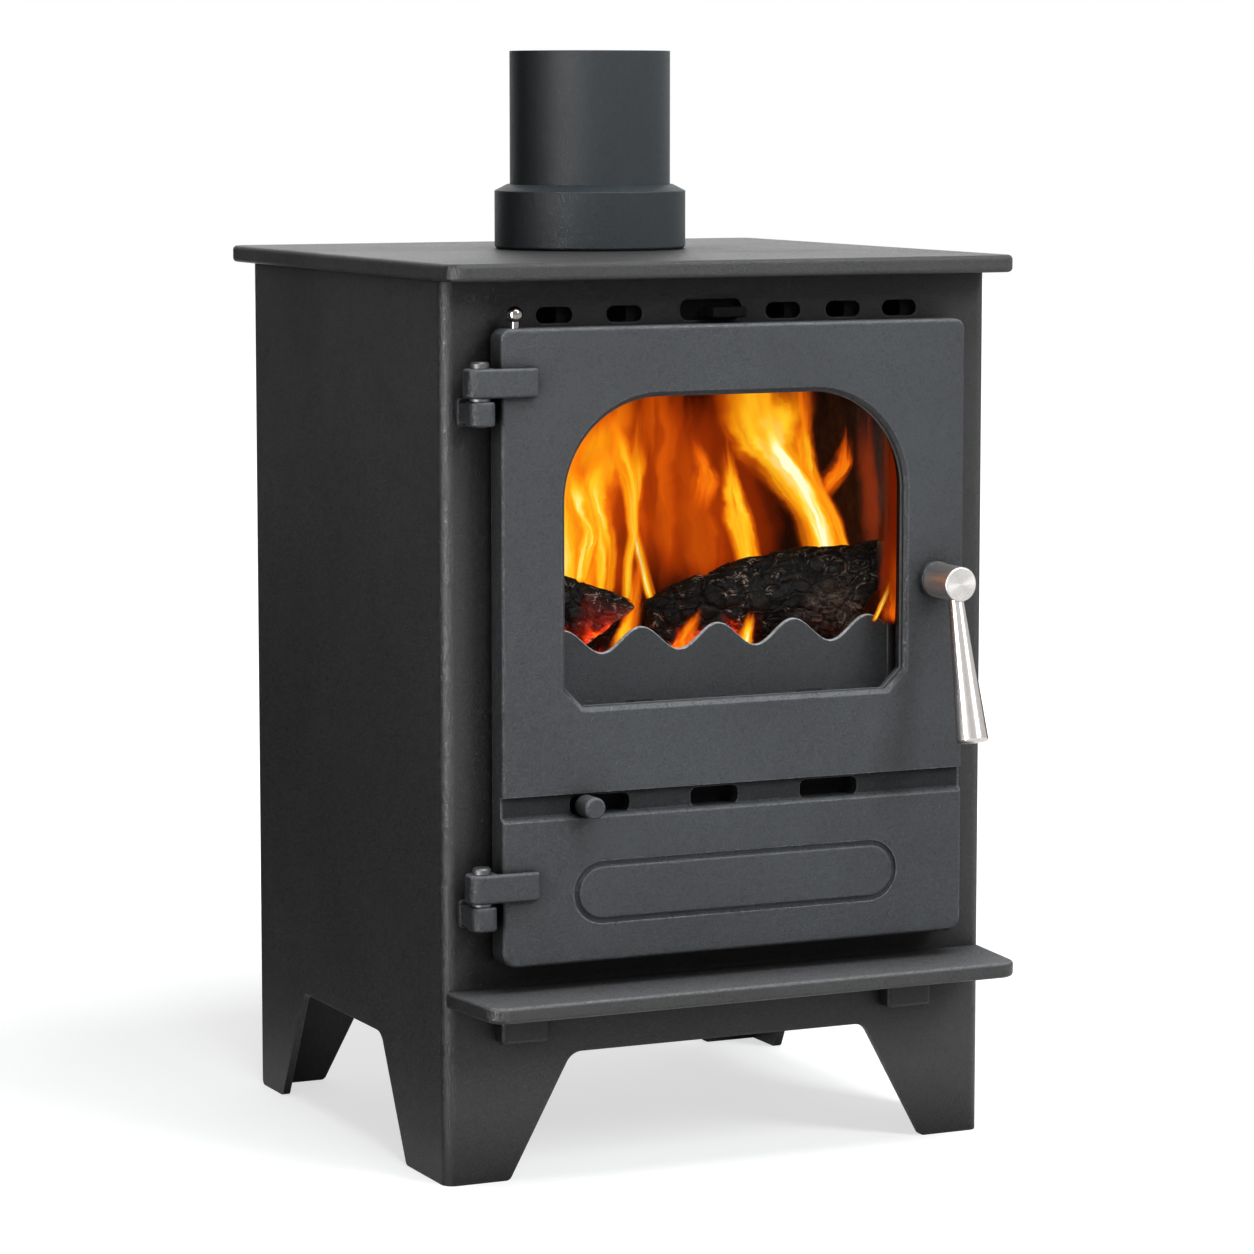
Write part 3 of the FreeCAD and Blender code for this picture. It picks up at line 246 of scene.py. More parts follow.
def paintMaterial(name):
    look, make = paintLooks[name], paintMake
    material, tree, shader = startMaterial(name)
    where = objectPlace(tree)
    grain = noiseAt(where, look["grain"], twist=make["twist"])
    speck = noiseAt(where, look["grain"] * make["speck"], *make["speckDetail"])
    cloud = noiseAt(where, *make["cloud"])
    wrinkle = spread(unsigned(offMiddle(grain)), 0.0, make["wrinkle"])
    tone = plus(times(cloud, make["cloudTone"]), times(grain, make["grainTone"]))
    paint = mixColour(spread(tone, *make["tone"]), look["dark"], look["light"])
    rounded, edge = edgeScuffAndHighlight(tree, look["edge"])
    # lighter edges: partly scuffed paint, partly a painted highlight
    scuffedAndHighlit = times(spread(edge, *make["scuffAndHighlight"]), spread(grain, *make["scuffAndHighlightGrain"]))
    paint = mixColour(times(scuffedAndHighlit, look["scuffAndHighlightShare"]), paint, look["scuffAndHighlightColour"])
    if "soot" in look:
        paint = mixColour(times(shareInside(where, sootAndShadePlace), look["soot"]), paint, sootAndShadePlace["colour"])
    # painted highlight: faces that look up turn towards a pale colour, for the light from above
    if "ash" in look:
        litFromAbove = times(spread(axes(faceNormal(tree))["Z"], *make["dustAndUpLight"]), spread(grain, *make["upLightGrain"]))
        paint = mixColour(litFromAbove, paint, look["ash"])
    shine = look.get("shine", make["shine"])
    give(shader, {"Specular IOR Level": shine})
    # painted shade: ambient occlusion darkens corners, recesses and faces under overhangs towards the soot
    # colour and dims their specular
    if "paintedShade" in look:
        corner = addNode(tree, "ShaderNodeAmbientOcclusion", {"Distance": look["paintedShade"]}, samples=edgeSamples)
        clear = spread(corner.outputs["AO"], *make["paintedShade"])
        if "soot" in look:
            clear = maths("MAXIMUM", clear, shareInside(where, unshadedPlace))
        # painted shade in the draught channel: darker and duller where it lies deeper
        if "channel" in look:
            clear = times(clear, minus(1.0, times(channelShadeShare(where), look["channel"])))
        paint = mixColour(clear, sootAndShadePlace["colour"], paint)
        give(shader, {"Specular IOR Level": times(clear, shine)})
    low, high = look["rough"]
    give(shader, {"Base Color": paint, "Roughness": spread(tone, *make["gloss"], high, low)})
    fine = plus(times(grain, make["grainRise"]), times(speck, make["speckRise"]))
    roughen(shader, plus(times(wrinkle, make["wrinkleRise"]), fine), look["grainDepth"], 1.0, rounded)
    return material


# metal: fine lines along the brushing, turned to suit the piece
steelLooks = {
    "satinSteel": {"colour": (0.51, 0.484, 0.467), "shade": (0.44, 0.414, 0.397), "rough": (0.23, 0.28),
        "lines": (620, 620, 20), "turn": (math.radians(14.5), 0, 0), "depth": 0.000002},
    "bossSteel": {"colour": (0.53, 0.511, 0.498), "shade": (0.40, 0.386, 0.375), "rough": (0.32, 0.46),
        "lines": (700, 40, 700), "turn": (0, 0, 0), "depth": 0.000004, "turned": 0.7},
    "brightSteel": {"colour": (0.27, 0.25, 0.235), "shade": (0.14, 0.13, 0.12), "rough": (0.10, 0.22),
        "lines": (420, 420, 420), "turn": (0, 0, 0), "depth": 0.00002},
    "darkSteel": {"colour": (0.105, 0.105, 0.107), "shade": (0.050, 0.050, 0.051), "rough": (0.44, 0.58),
        "lines": (420, 420, 420), "turn": (0, 0, 0), "depth": 0.00003},
    "plainSteel": {"colour": (0.42, 0.41, 0.40), "shade": (0.24, 0.225, 0.21), "rough": (0.34, 0.55),
        "lines": (300, 300, 300), "turn": (0, 0, 0), "depth": 0.00006},
}
steelMake = {"lines": (1.0, 3.0, 0.6), "smear": (38.0, 3.0, 0.6), "linesTone": 0.6, "smearTone": 0.4,
             "tone": (0.34, 0.66), "gloss": (0.3, 0.7), "endFace": (0.80, 0.95)}


def steelMaterial(name):
    look, make = steelLooks[name], steelMake
    material, tree, shader = startMaterial(name)
    lines = noiseAt(objectPlace(tree, look["lines"], look["turn"]), *make["lines"])
    smear = noiseAt(objectPlace(tree), *make["smear"])
    tone = plus(times(lines, make["linesTone"]), times(smear, make["smearTone"]))
    low, high = look["rough"]
    give(shader, {"Base Color": mixColour(spread(tone, *make["tone"]), look["shade"], look["colour"]),
                  "Roughness": spread(tone, *make["gloss"], high, low), "Metallic": 1.0})
    if "turned" in look:
        lathe = addNode(tree, "ShaderNodeTangent", direction_type="RADIAL", axis="Y")
        facing = axes(addNode(tree, "ShaderNodeTexCoord").outputs["Normal"])
        give(shader, {"Tangent": lathe.outputs["Tangent"],
                      "Anisotropic": spread(unsigned(facing["Y"]), *make["endFace"], 0.0, look["turned"])})
    roughen(shader, lines, look["depth"])
    return material


brickLook = {"pale": (0.30, 0.20, 0.115), "fleck": (0.46, 0.34, 0.20), "soot": (0.010, 0.0062, 0.0045),
             "grain": 190, "flecks": (0.45, 0.95), "stain": (9.0, 4.0, 0.65, 0.8), "spots": 46.0,
             "spotShare": 0.25, "stained": (0.40, 0.70, 0.80, 0.985), "pits": (60.0, 4.0), "rough": 0.93,
             "relief": (0.0009, 0.6)}


def brickMaterial():
    look = brickLook
    material, tree, shader = startMaterial("fireBrick")
    where = objectPlace(tree)
    flakes = addNode(tree, "ShaderNodeTexVoronoi", {"Vector": where, "Scale": look["grain"]})
    flake = addNode(tree, "ShaderNodeSeparateColor", {"Color": flakes.outputs["Color"]}).outputs[0]
    board = mixColour(spread(flake, *look["flecks"]), look["pale"], look["fleck"])
    spots = times(noiseAt(where, look["spots"]), look["spotShare"])
    soot = plus(noiseAt(where, *look["stain"]), spots)
    give(shader, {"Base Color": mixColour(spread(soot, *look["stained"]), board, look["soot"]),
                  "Roughness": look["rough"]})
    roughen(shader, plus(flakes.outputs["Distance"], noiseAt(where, *look["pits"])), *look["relief"])
    return material


ropeLook = {"dark": (0.020, 0.020, 0.021), "pale": (0.105, 0.103, 0.100), "fibre": (850.0, 3.0, 0.7, 2.5),
            "scuff": 70.0, "least": 0.35, "tone": (0.30, 0.62), "rough": 0.95, "sheen": 0.25,
            "relief": (0.0005, 0.7)}


def ropeMaterial():
    look = ropeLook
    material, tree, shader = startMaterial("ropeFibre")
    where = objectPlace(tree)
    fibre = noiseAt(where, *look["fibre"])
    tone = times(fibre, plus(noiseAt(where, look["scuff"]), look["least"]))
    give(shader, {"Base Color": mixColour(spread(tone, *look["tone"]), look["dark"], look["pale"]),
                  "Roughness": look["rough"], "Sheen Weight": look["sheen"]})
    roughen(shader, fibre, *look["relief"])
    return material


glassLook = {"tint": (0.020, 0.014, 0.010), "cover": 0.04, "shine": 0.04, "smear": (14.0, 3.0, 0.6),
             "rough": (0.3, 0.7, 0.03, 0.10)}


def glassMaterial():
    look = glassLook
    material, tree, shader = startMaterial("stoveGlass")
    smear = noiseAt(objectPlace(tree), *look["smear"])
    give(shader, {"Roughness": spread(smear, *look["rough"]), "Base Color": look["tint"],
                  "Alpha": look["cover"], "Specular IOR Level": look["shine"]})
    return material


# char: black plates with cracks and painted highlights on their rims, bare fibres where the bark is gone,
# glowing underneath
charLook = {"black": (0.0042, 0.0038, 0.0036), "ridge": (0.050, 0.032, 0.023), "bare": (0.400, 0.280, 0.205),
            "paintedGlint": (0.46, 0.33, 0.25), "crack": (0.0016, 0.0013, 0.0012), "crumbs": (170.0, 5.0, 0.7, 0.8),
            "crumbTone": (0.52, 0.74), "ridgeTone": (0.62, 1.05), "fibre": (140, 520, 300), "fibreTurn": -38,
            "fibreNoise": (1.0, 4.0, 0.65, 0.6), "fibreTone": (0.40, 0.66), "bend": 64.0, "bendReach": 0.009,
            "plates": 92.0, "plateSize": (0.62, 1, 1), "plateEdge": (0.01, 0.13), "rimStart": (0.03, 0.06),
            "rimEnd": (0.13, 0.08), "paintedGlintNoise": (((46.0, 2.0), (0.48, 0.60)), ((150.0, 2.0), (0.48, 0.58))),
            "glow": (62.0, 4.0, 0.65, 1.0), "glowTone": (0.30, 0.66, 0.15, 1.2), "glowStrength": 1.5,
            "rough": (0.35, 0.68, 0.85, 0.34), "shine": 0.14, "crumbRise": 0.45, "relief": (0.0019, 0.9)}
emberStops = [(0.0, (0, 0, 0)), (0.30, (0.10, 0.003, 0.0)), (0.52, (0.62, 0.028, 0.004)),
              (0.76, (1.0, 0.17, 0.008)), (1.0, (1.0, 0.62, 0.10))]


def charMaterial():
    look = charLook
    material, tree, shader = startMaterial("charredWood")
    where = objectPlace(tree)
    ember, bare, ridge = (attribute(tree, label) for label in ("ember", "bare", "ridge"))
    crumbs = noiseAt(where, *look["crumbs"])
    lengthwise = objectPlace(tree, look["fibre"], (0, math.radians(look["fibreTurn"]), 0))
    fibre = noiseAt(lengthwise, *look["fibreNoise"])
    pale = times(spread(ridge, *look["ridgeTone"]), spread(crumbs, *look["crumbTone"]), True)
    wood = mixColour(pale, look["black"], look["ridge"])
    bend = addNode(tree, "ShaderNodeTexNoise", {"Vector": where, "Scale": look["bend"], "Detail": 3.0})
    bent = addNode(tree, "ShaderNodeVectorMath", {
        0: bend.outputs["Color"], 1: [look["bendReach"]] * 3, 2: objectPlace(tree, look["plateSize"])},
        operation="MULTIPLY_ADD")
    gap = addNode(tree, "ShaderNodeTexVoronoi", {"Vector": bent.outputs[0], "Scale": look["plates"]},
                  feature="DISTANCE_TO_EDGE").outputs["Distance"]
    plate = spread(gap, *look["plateEdge"])
    wood = mixColour(plate, look["crack"], wood)
    # painted highlights on the rims of the plates, in sparse patches
    rim = times(spread(gap, *look["rimStart"]), spread(gap, *look["rimEnd"]))
    coarse, fine = (spread(noiseAt(where, *grain), *tone) for grain, tone in look["paintedGlintNoise"])
    wood = mixColour(times(rim, times(coarse, fine), True), wood, look["paintedGlint"])
    strip = times(bare, spread(fibre, *look["fibreTone"]), True)
    heat = times(ember, spread(noiseAt(where, *look["glow"]), *look["glowTone"]))
    give(shader, {"Base Color": mixColour(strip, wood, look["bare"]), "Specular IOR Level": look["shine"],
                  "Roughness": spread(crumbs, *look["rough"]),
                  "Emission Color": ramp(heat, emberStops), "Emission Strength": look["glowStrength"]})
    grain = plus(times(crumbs, look["crumbRise"]), times(fibre, bare))
    roughen(shader, plus(grain, plate), *look["relief"])
    return material


coalLook = {"black": (0.010, 0.008, 0.007), "ash": (0.12, 0.10, 0.09), "crust": (120.0, 4.0, 0.65),
            "crustTone": (0.52, 0.72), "patches": (26.0, 2.0, 0.5, 0.6), "patchHeat": 0.75,
            "specks": (95.0, 3.0, 0.6), "speckHeat": 0.55, "glow": (0.47, 0.88), "glowStrength": 1.9,
            "dullAt": 0.085, "dullReach": (0.03, 0.075, 0.25, 1.0), "rough": 0.94, "relief": (0.0012, 0.8)}


def coalMaterial():
    look = coalLook
    material, tree, shader = startMaterial("glowingCoal")
    where = objectPlace(tree)
    crust = noiseAt(where, *look["crust"])
    heat = plus(times(noiseAt(where, *look["patches"]), look["patchHeat"]),
                times(noiseAt(where, *look["specks"]), look["speckHeat"]))
    away = unsigned(minus(axes(where)["X"], look["dullAt"]))
    heat = times(spread(heat, *look["glow"]), spread(away, *look["dullReach"]))
    give(shader, {"Base Color": mixColour(spread(crust, *look["crustTone"]), look["black"], look["ash"]),
                  "Roughness": look["rough"], "Emission Color": ramp(heat, emberStops),
                  "Emission Strength": look["glowStrength"]})
    roughen(shader, crust, *look["relief"])
    return material


# flame: u runs across a sheet and v up it; its heat, cover, seed and fade at the foot are kept on the mesh
flameStops = [(0.0, (0.10, 0.004, 0.0)), (0.22, (0.42, 0.040, 0.001)), (0.42, (0.93, 0.150, 0.003)),
              (0.62, (1.0, 0.33, 0.004)), (0.80, (1.0, 0.57, 0.018)), (0.93, (1.0, 0.82, 0.20)),
              (1.0, (1.0, 0.95, 0.62))]
# sway, lick and streak are each a scale across, a scale up, a shift of the seed, a roughness and a twist
flameLook = {"warp": (0.12, 0.64), "curl": 0.16, "sway": (1.4, 2.6, 0.0, 0.55, 0.3),
             "lick": (3.4, 7.5, 12.9, 0.6, 0.4), "streak": (4.6, 1.5, 31.7, 0.55, 0.5), "ragged": 0.55,
             "tip": (0.62, 1.0, 1.0, 0.0), "last": (0.90, 1.0, 1.0, 0.0), "rim": 0.35,
             "glow": (0.28, 0.72, 0.50, 1.15), "gain": 0.7, "solid": 0.75, "glowStrength": 1.15}


def flameMaterial():
    look = flameLook
    material, tree, shader = startMaterial("flame")
    across, upward, _ = axes(addNode(tree, "ShaderNodeUVMap", uv_map="sheet").outputs["UV"])
    heat, cover, seed, rise = (attribute(tree, label) for label in ("fireHeat", "cover", "seed", "footFade"))

    def streaked(place, kind):
        wide, tall, shift, rough, twist = look[kind]
        join = addNode(tree, "ShaderNodeCombineXYZ", {
            "X": times(place, wide), "Y": times(upward, tall), "Z": plus(seed, shift)})
        return noiseAt(join.outputs["Vector"], 1.0, rough=rough, twist=twist)

    def inward(place):
        return minus(1.0, unsigned(minus(times(place, 2.0), 1.0)), True)

    bend = times(offMiddle(streaked(across, "sway")), spread(upward, 0.0, 1.0, *look["warp"]))
    curl = times(offMiddle(streaked(across, "lick")), look["curl"])
    bent = plus(across, plus(bend, curl))
    streak = streaked(bent, "streak")
    body = times(spread(inward(bent), 0.0, 1.0, soft=True),
                 spread(inward(across), 0.0, look["rim"], soft=True))
    tip = spread(plus(upward, times(offMiddle(streak), look["ragged"])), *look["tip"], soft=True)
    foot = spread(maths("DIVIDE", upward, rise), 0.0, 1.0, soft=True)
    last = spread(upward, *look["last"], soft=True)
    glow = times(times(times(body, tip), times(foot, last)), spread(streak, *look["glow"]))
    give(shader, {"Emission Color": ramp(times(maths("POWER", glow, look["gain"]), heat), flameStops),
                  "Emission Strength": look["glowStrength"], "Base Color": (0.0, 0.0, 0.0),
                  "Alpha": times(spread(glow, 0.0, look["solid"], soft=True), cover, True),
                  "Specular IOR Level": 0.0, "Roughness": 1.0})
    return material


finish = {name: paintMaterial(name) for name in paintLooks}
finish.update({name: steelMaterial(name) for name in steelLooks})
finish.update({"fireBrick": brickMaterial(), "ropeFibre": ropeMaterial(), "stoveGlass": glassMaterial(),
               "charredWood": charMaterial(), "glowingCoal": coalMaterial(), "flame": flameMaterial()})
print("finishes:", len(finish))


# mesh helpers
weldReach = 2e-6
levelAngle = math.radians(0.4)      # faces nearer to level than this become one
sharpAngle = 32


def addPiece(name, data):
    piece = bpy.data.objects.new(name, data)
    scene.collection.objects.link(piece)
    return piece


def workFrom(mesh):
    work = bmesh.new()
    work.from_mesh(mesh)
    return work


def toMesh(work, name):
    mesh = bpy.data.meshes.new(name)
    work.to_mesh(mesh)
    work.free()
    return mesh


def bakedMesh(piece):
    return bpy.data.meshes.new_from_object(piece.evaluated_get(bpy.context.evaluated_depsgraph_get()))


def settle(piece):
    # modifiers become plain mesh
    mesh = bakedMesh(piece)
    piece.modifiers.clear()
    piece.data = mesh
    return piece


def cleanMesh(work, name, sharp=sharpAngle):
    bmesh.ops.dissolve_limit(work, angle_limit=levelAngle, verts=work.verts, edges=work.edges)
    for face in work.faces:
        face.smooth = True
    for edge in work.edges:
        edge.smooth = len(edge.link_faces) == 2 and edge.calc_face_angle(0) < math.radians(sharp)
    mesh = toMesh(work, name)
    if "custom_normal" in mesh.attributes:
        mesh.attributes.remove(mesh.attributes["custom_normal"])
    return mesh


def weldedMesh(mesh, name):
    work = workFrom(mesh)
    bmesh.ops.remove_doubles(work, verts=work.verts, dist=weldReach)
    return cleanMesh(work, name)


def evenShading(piece):
    weight = piece.modifiers.new("faceWeight", "WEIGHTED_NORMAL")
    weight.keep_sharp = True
    return settle(piece)


def bridge(work, first, second, closed=False):
    # faces between two rows of points
    count = len(first)
    return [work.faces.new((first[i], first[(i + 1) % count], second[(i + 1) % count], second[i]))
            for i in range(count if closed else count - 1)]


def takePlace(piece, material, slotName, body, *replaced):
    piece.data.materials.clear()
    piece.data.materials.append(finish[material])
    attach(piece, body)
    if replaced:
        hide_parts(*replaced)
    return piece


# the carcass is welded and ground flush, so its plates are one skin
carcassPlates = ["left_side_plate", "right_side_plate", "front_header", "left_front_stile",
                 "right_front_stile", "front_skirt"]


def buildCarcass():
    parts = [addPiece("plate." + source, weldedMesh(nodes[source].data, source)) for source in carcassPlates]
    whole = parts[0]
    for part in parts[1:]:
        weld = whole.modifiers.new("weld", "BOOLEAN")
        weld.operation = "UNION"
        weld.solver = "EXACT"
        weld.object = part
    settle(whole)
    carcass = addPiece("carcass", weldedMesh(whole.data, "carcass"))
    for part in parts:
        bpy.data.objects.remove(part)
    return takePlace(evenShading(carcass), "stovePaint", "stove_paint", "stove", *carcassPlates)


print("carcass:", len(buildCarcass().data.polygons), "faces")

# turned, rolled and cast pieces get even shading; flat ones stay as they come
roundedNodes = {
    "back_plate": ("stovePaint", "stove_paint"), "top_plate": ("stovePaint", "stove_paint"),
    "hearth_shelf": ("shelfPaintLit", "stove_paint"), "hinge_lugs": ("castPaint", "stove_paint"),
    "flue_collar": ("fluePaint", "flue_paint"), "flue_pipe": ("fluePaint", "flue_paint"),
    "door_casting": ("castPaint", "cast_door"), "hinge_straps": ("castPaint", "cast_door"),
    "primary_air_knob": ("castPaint", "cast_door"), "handle_collar": ("castPaint", "cast_door"),
    "hinge_pins": ("darkSteel", "bright_steel"), "door_ball_stud": ("brightSteel", "bright_steel"),
    "handle_boss": ("bossSteel", "satin_steel"), "handle_bar": ("satinSteel", "satin_steel"),
    "latch_spindle": ("plainSteel", "plain_steel"), "latch_tongue": ("plainSteel", "plain_steel"),
    "latch_nut": ("plainSteel", "plain_steel"), "latch_box": ("stovePaint", "stove_paint"),
    "glass_clips": ("clipPaint", "plain_steel"), "airwash_slide": ("darkPaint", "stove_paint"),
    "primary_air_slide": ("darkPaint", "stove_paint"), "riddle_grate": ("grateIron", "cast_grate"),
    "grate_bed": ("grateIron", "cast_grate"), "ash_pan": ("grateIron", "plain_steel"),
    "glass_gasket": ("ropeFibre", "rope_seal"),
}
flatNodes = {
    "floor_plate": "stovePaint", "airwash_duct": "darkPaint", "airwash_guides": "darkPaint",
    "primary_air_guides": "darkPaint", "grate_rails": "grateIron", "baffle_plate": "grateIron",
    "left_fire_brick": "fireBrick", "right_fire_brick": "fireBrick", "rear_fire_brick": "fireBrick",
    "door_glass": "stoveGlass",
}
for node, (material, slotName) in roundedNodes.items():
    twin = addPiece(node + "_finished", weldedMesh(nodes[node].data, node))
    takePlace(evenShading(twin), material, slotName, bodyOf[node], node)
for node, material in flatNodes.items():
    slots = nodes[node].data.materials
    slots.clear()
    slots.append(finish[material])
print("plates and castings:", len(roundedNodes) + len(flatNodes))

# shelf brackets: two blocks with rounded edges, let into the shelf and the skirt
brackets = {"centres": (-0.1648, 0.1539), "width": 0.0372, "depth": 0.0140, "low": 0.1044, "high": 0.133,
            "sink": 0.004, "edge": 0.0032, "segments": 3}


def buildBrackets():
    work = bmesh.new()
    low = Vector((-brackets["width"] / 2, frontFace - brackets["depth"], brackets["low"]))
    high = Vector((brackets["width"] / 2, frontFace + brackets["sink"], brackets["high"] + brackets["sink"]))
    for centre in brackets["centres"]:
        for vertex in bmesh.ops.create_cube(work, size=1.0)["verts"]:
            share = vertex.co + Vector((0.5, 0.5, 0.5))
            vertex.co = [a + (b - a) * s for a, b, s in zip(low, high, share)]
            vertex.co.x += centre
    bmesh.ops.bevel(work, geom=work.edges[:], offset=brackets["edge"], segments=brackets["segments"],
                    profile=0.5, affect="EDGES")
    piece = addPiece("shelf_bracket_blocks", cleanMesh(work, "shelf_bracket_blocks"))
    return takePlace(evenShading(piece), "stovePaint", "stove_paint", "stove", "shelf_brackets")


print("shelf brackets:", len(buildBrackets().data.polygons), "faces")


# geometry nodes make what follows a rule, a path or a scatter
socketKinds = {float: "NodeSocketFloat", int: "NodeSocketInt", bpy.types.Object: "NodeSocketObject"}


def joined(*parts):
    node = addNode(parts[0].id_data, "GeometryNodeJoinGeometry")
    for part in parts:
        give(node, {0: part})
    return node.outputs[0]


def growPiece(name, start, treeName, rule, sizes, material):
    # a tree with an input for each size, whose result becomes plain mesh
    tree = bpy.data.node_groups.new(treeName, "GeometryNodeTree")
    for side in ("INPUT", "OUTPUT"):
        tree.interface.new_socket("Geometry", in_out=side, socket_type="NodeSocketGeometry")
    names = {}
    for label, value in sizes.items():
        socket = tree.interface.new_socket(label, in_out="INPUT", socket_type=socketKinds[type(value)])
        names[label] = socket.identifier
    geometry = rule(tree, addNode(tree, "NodeGroupInput").outputs)
    real = addNode(tree, "GeometryNodeRealizeInstances", {"Geometry": geometry})
    paint = addNode(tree, "GeometryNodeSetMaterial", {
        "Geometry": real.outputs["Geometry"], "Material": finish[material]})
    addNode(tree, "NodeGroupOutput", {"Geometry": paint.outputs["Geometry"]})
    seedling = addPiece(name, start)
    modifier = seedling.modifiers.new("rule", "NODES")
    modifier.node_group = tree
    for label, value in sizes.items():
        modifier[names[label]] = value
    mesh = bakedMesh(seedling)
    bpy.data.objects.remove(seedling)
    return addPiece(name, mesh)


# fuel guard: a plate whose top edge is a wave
guard = {"halfWidth": 0.1575, "pitch": 0.063, "trough": 0.387, "crest": 0.405, "setback": 0.009,
         "thickness": 0.005, "columns": 241, "merge": 0.00001, "edge": 0.0021, "segments": 3, "edgeAngle": 50,
         "sharp": 28}


def guardRule(tree, given):
    grid = addNode(tree, "GeometryNodeMeshGrid", {
        "Size X": times(given["Half Width"], 2.0), "Size Y": 1.0, "Vertices X": given["Columns"],
        "Vertices Y": 2})
    x, y, _ = axes(addNode(tree, "GeometryNodeInputPosition").outputs[0])
    wave = maths("COSINE", times(maths("DIVIDE", plus(x, given["Half Width"]), given["Pitch"]), fullTurn))
    share = minus(0.5, times(wave, 0.5))
    top = plus(given["Trough"], times(share, minus(given["Crest"], given["Trough"])))
    upper = maths("GREATER_THAN", y, 0.0)
    height = plus(times(top, upper), times(given["Foot"], minus(1.0, upper)))
    place = addNode(tree, "ShaderNodeCombineXYZ", {"X": x, "Y": given["Front"], "Z": height})
    sheet = addNode(tree, "GeometryNodeSetPosition", {
        "Geometry": grid.outputs["Mesh"], "Position": place.outputs[0]}).outputs[0]
    thick = addNode(tree, "GeometryNodeExtrudeMesh", {
        "Mesh": sheet, "Offset": (0, 1, 0), "Offset Scale": given["Thickness"], "Individual": False})
    close = addNode(tree, "GeometryNodeMergeByDistance", {
        0: joined(thick.outputs["Mesh"], sheet), "Distance": guard["merge"]})
    return close.outputs[0]


def buildGuard():
    piece = growPiece("fuel_guard_wave", bpy.data.meshes.new("guardStart"), "fuelGuardWave", guardRule, {
        "Half Width": guard["halfWidth"], "Pitch": guard["pitch"], "Trough": guard["trough"],
        "Crest": guard["crest"], "Foot": grateTop, "Front": frontFace + guard["setback"],
        "Thickness": guard["thickness"], "Columns": guard["columns"]}, "guardPaint")
    work = workFrom(piece.data)
    bmesh.ops.recalc_face_normals(work, faces=work.faces)
    piece.data = toMesh(work, "fuel_guard_wave")
    edge = piece.modifiers.new("edge", "BEVEL")
    edge.width = guard["edge"]
    edge.segments = guard["segments"]
    edge.limit_method = "ANGLE"
    edge.angle_limit = math.radians(guard["edgeAngle"])
    piece.data = cleanMesh(workFrom(settle(piece).data), "fuel_guard_wave", guard["sharp"])
    return takePlace(evenShading(piece), "guardPaint", "stove_paint", "stove", "fuel_guard")


# rope seal: strands laid round each other along the groove in the door
rope = {"halfWidth": 0.1505, "low": 0.1755, "high": 0.6065, "corner": 0.0275, "cornerSteps": 8, "strands": 6,
        "strand": 0.0025, "sides": 7, "across": 0.0055, "deep": 0.0065, "turns": 42.0, "step": 0.0021}


def ropePath():
    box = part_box("door_rope_seal")
    middle = (box[0].y + box[1].y) / 2
    reach, low, high, corner = (rope[key] for key in ("halfWidth", "low", "high", "corner"))
    steps = rope["cornerSteps"]
    points = []
    for x, z, start in ((reach, high, 0), (-reach, high, 90), (-reach, low, 180), (reach, low, 270)):
        centreX, centreZ = x - math.copysign(corner, x), z - (corner if z == high else -corner)
        for step in range(steps + 1):
            angle = math.radians(start + step * 90 / steps)
            points.append((centreX + corner * math.cos(angle), middle, centreZ + corner * math.sin(angle)))
    curve = bpy.data.curves.new("ropePath", "CURVE")
    curve.dimensions = "3D"
    line = curve.splines.new("POLY")
    line.points.add(len(points) - 1)
    for point, place in zip(line.points, points):
        point.co = (*place, 1.0)
    line.use_cyclic_u = True
    return curve


def ropeRule(tree, given):
    fine = addNode(tree, "GeometryNodeResampleCurve", {"Curve": given["Geometry"], "Length": given["Step"]},
                   mode="LENGTH")
    many = addNode(tree, "GeometryNodeDuplicateElements", {
        "Geometry": fine.outputs[0], "Amount": given["Strands"]}, domain="SPLINE")
    keep = addNode(tree, "GeometryNodeStoreNamedAttribute", {
        "Geometry": many.outputs["Geometry"], "Name": "strand", "Value": many.outputs["Duplicate Index"]},
        data_type="FLOAT", domain="CURVE")
    strand = addNode(tree, "GeometryNodeInputNamedAttribute", {"Name": "strand"}, data_type="FLOAT")
    share = addNode(tree, "GeometryNodeSplineParameter").outputs["Factor"]
    strandTurn = maths("DIVIDE", strand.outputs[0], given["Strands"])
    angle = times(plus(times(share, given["Turns"]), strandTurn), fullTurn)
    depth = addNode(tree, "ShaderNodeCombineXYZ", {"Y": 1.0}).outputs[0]
    outward = vectorMath("CROSS_PRODUCT", addNode(tree, "GeometryNodeInputTangent").outputs[0], depth)

    def part(direction, wave, reach):
        reach = minus(given[reach], given["Strand Radius"])
        return vectorMath("SCALE", direction, scale=times(maths(wave, angle), reach))

    offset = vectorMath("ADD", part(outward, "COSINE", "Across"), part(depth, "SINE", "Deep"))
    twist = addNode(tree, "GeometryNodeSetPosition", {"Geometry": keep.outputs[0], "Offset": offset})
    ring = addNode(tree, "GeometryNodeCurvePrimitiveCircle", {
        "Resolution": rope["sides"], "Radius": given["Strand Radius"]})
    tube = addNode(tree, "GeometryNodeCurveToMesh", {
        "Curve": twist.outputs[0], "Profile Curve": ring.outputs["Curve"]})
    return tube.outputs["Mesh"]


def buildRope():
    piece = growPiece("door_rope_strands", ropePath(), "ropeSealStrands", ropeRule, {
        "Strands": rope["strands"], "Strand Radius": rope["strand"], "Across": rope["across"],
        "Deep": rope["deep"], "Turns": rope["turns"], "Step": rope["step"]}, "ropeFibre")
    for face in piece.data.polygons:
        face.use_smooth = True
    return takePlace(piece, "ropeFibre", "rope_seal", "door", "door_rope_seal")


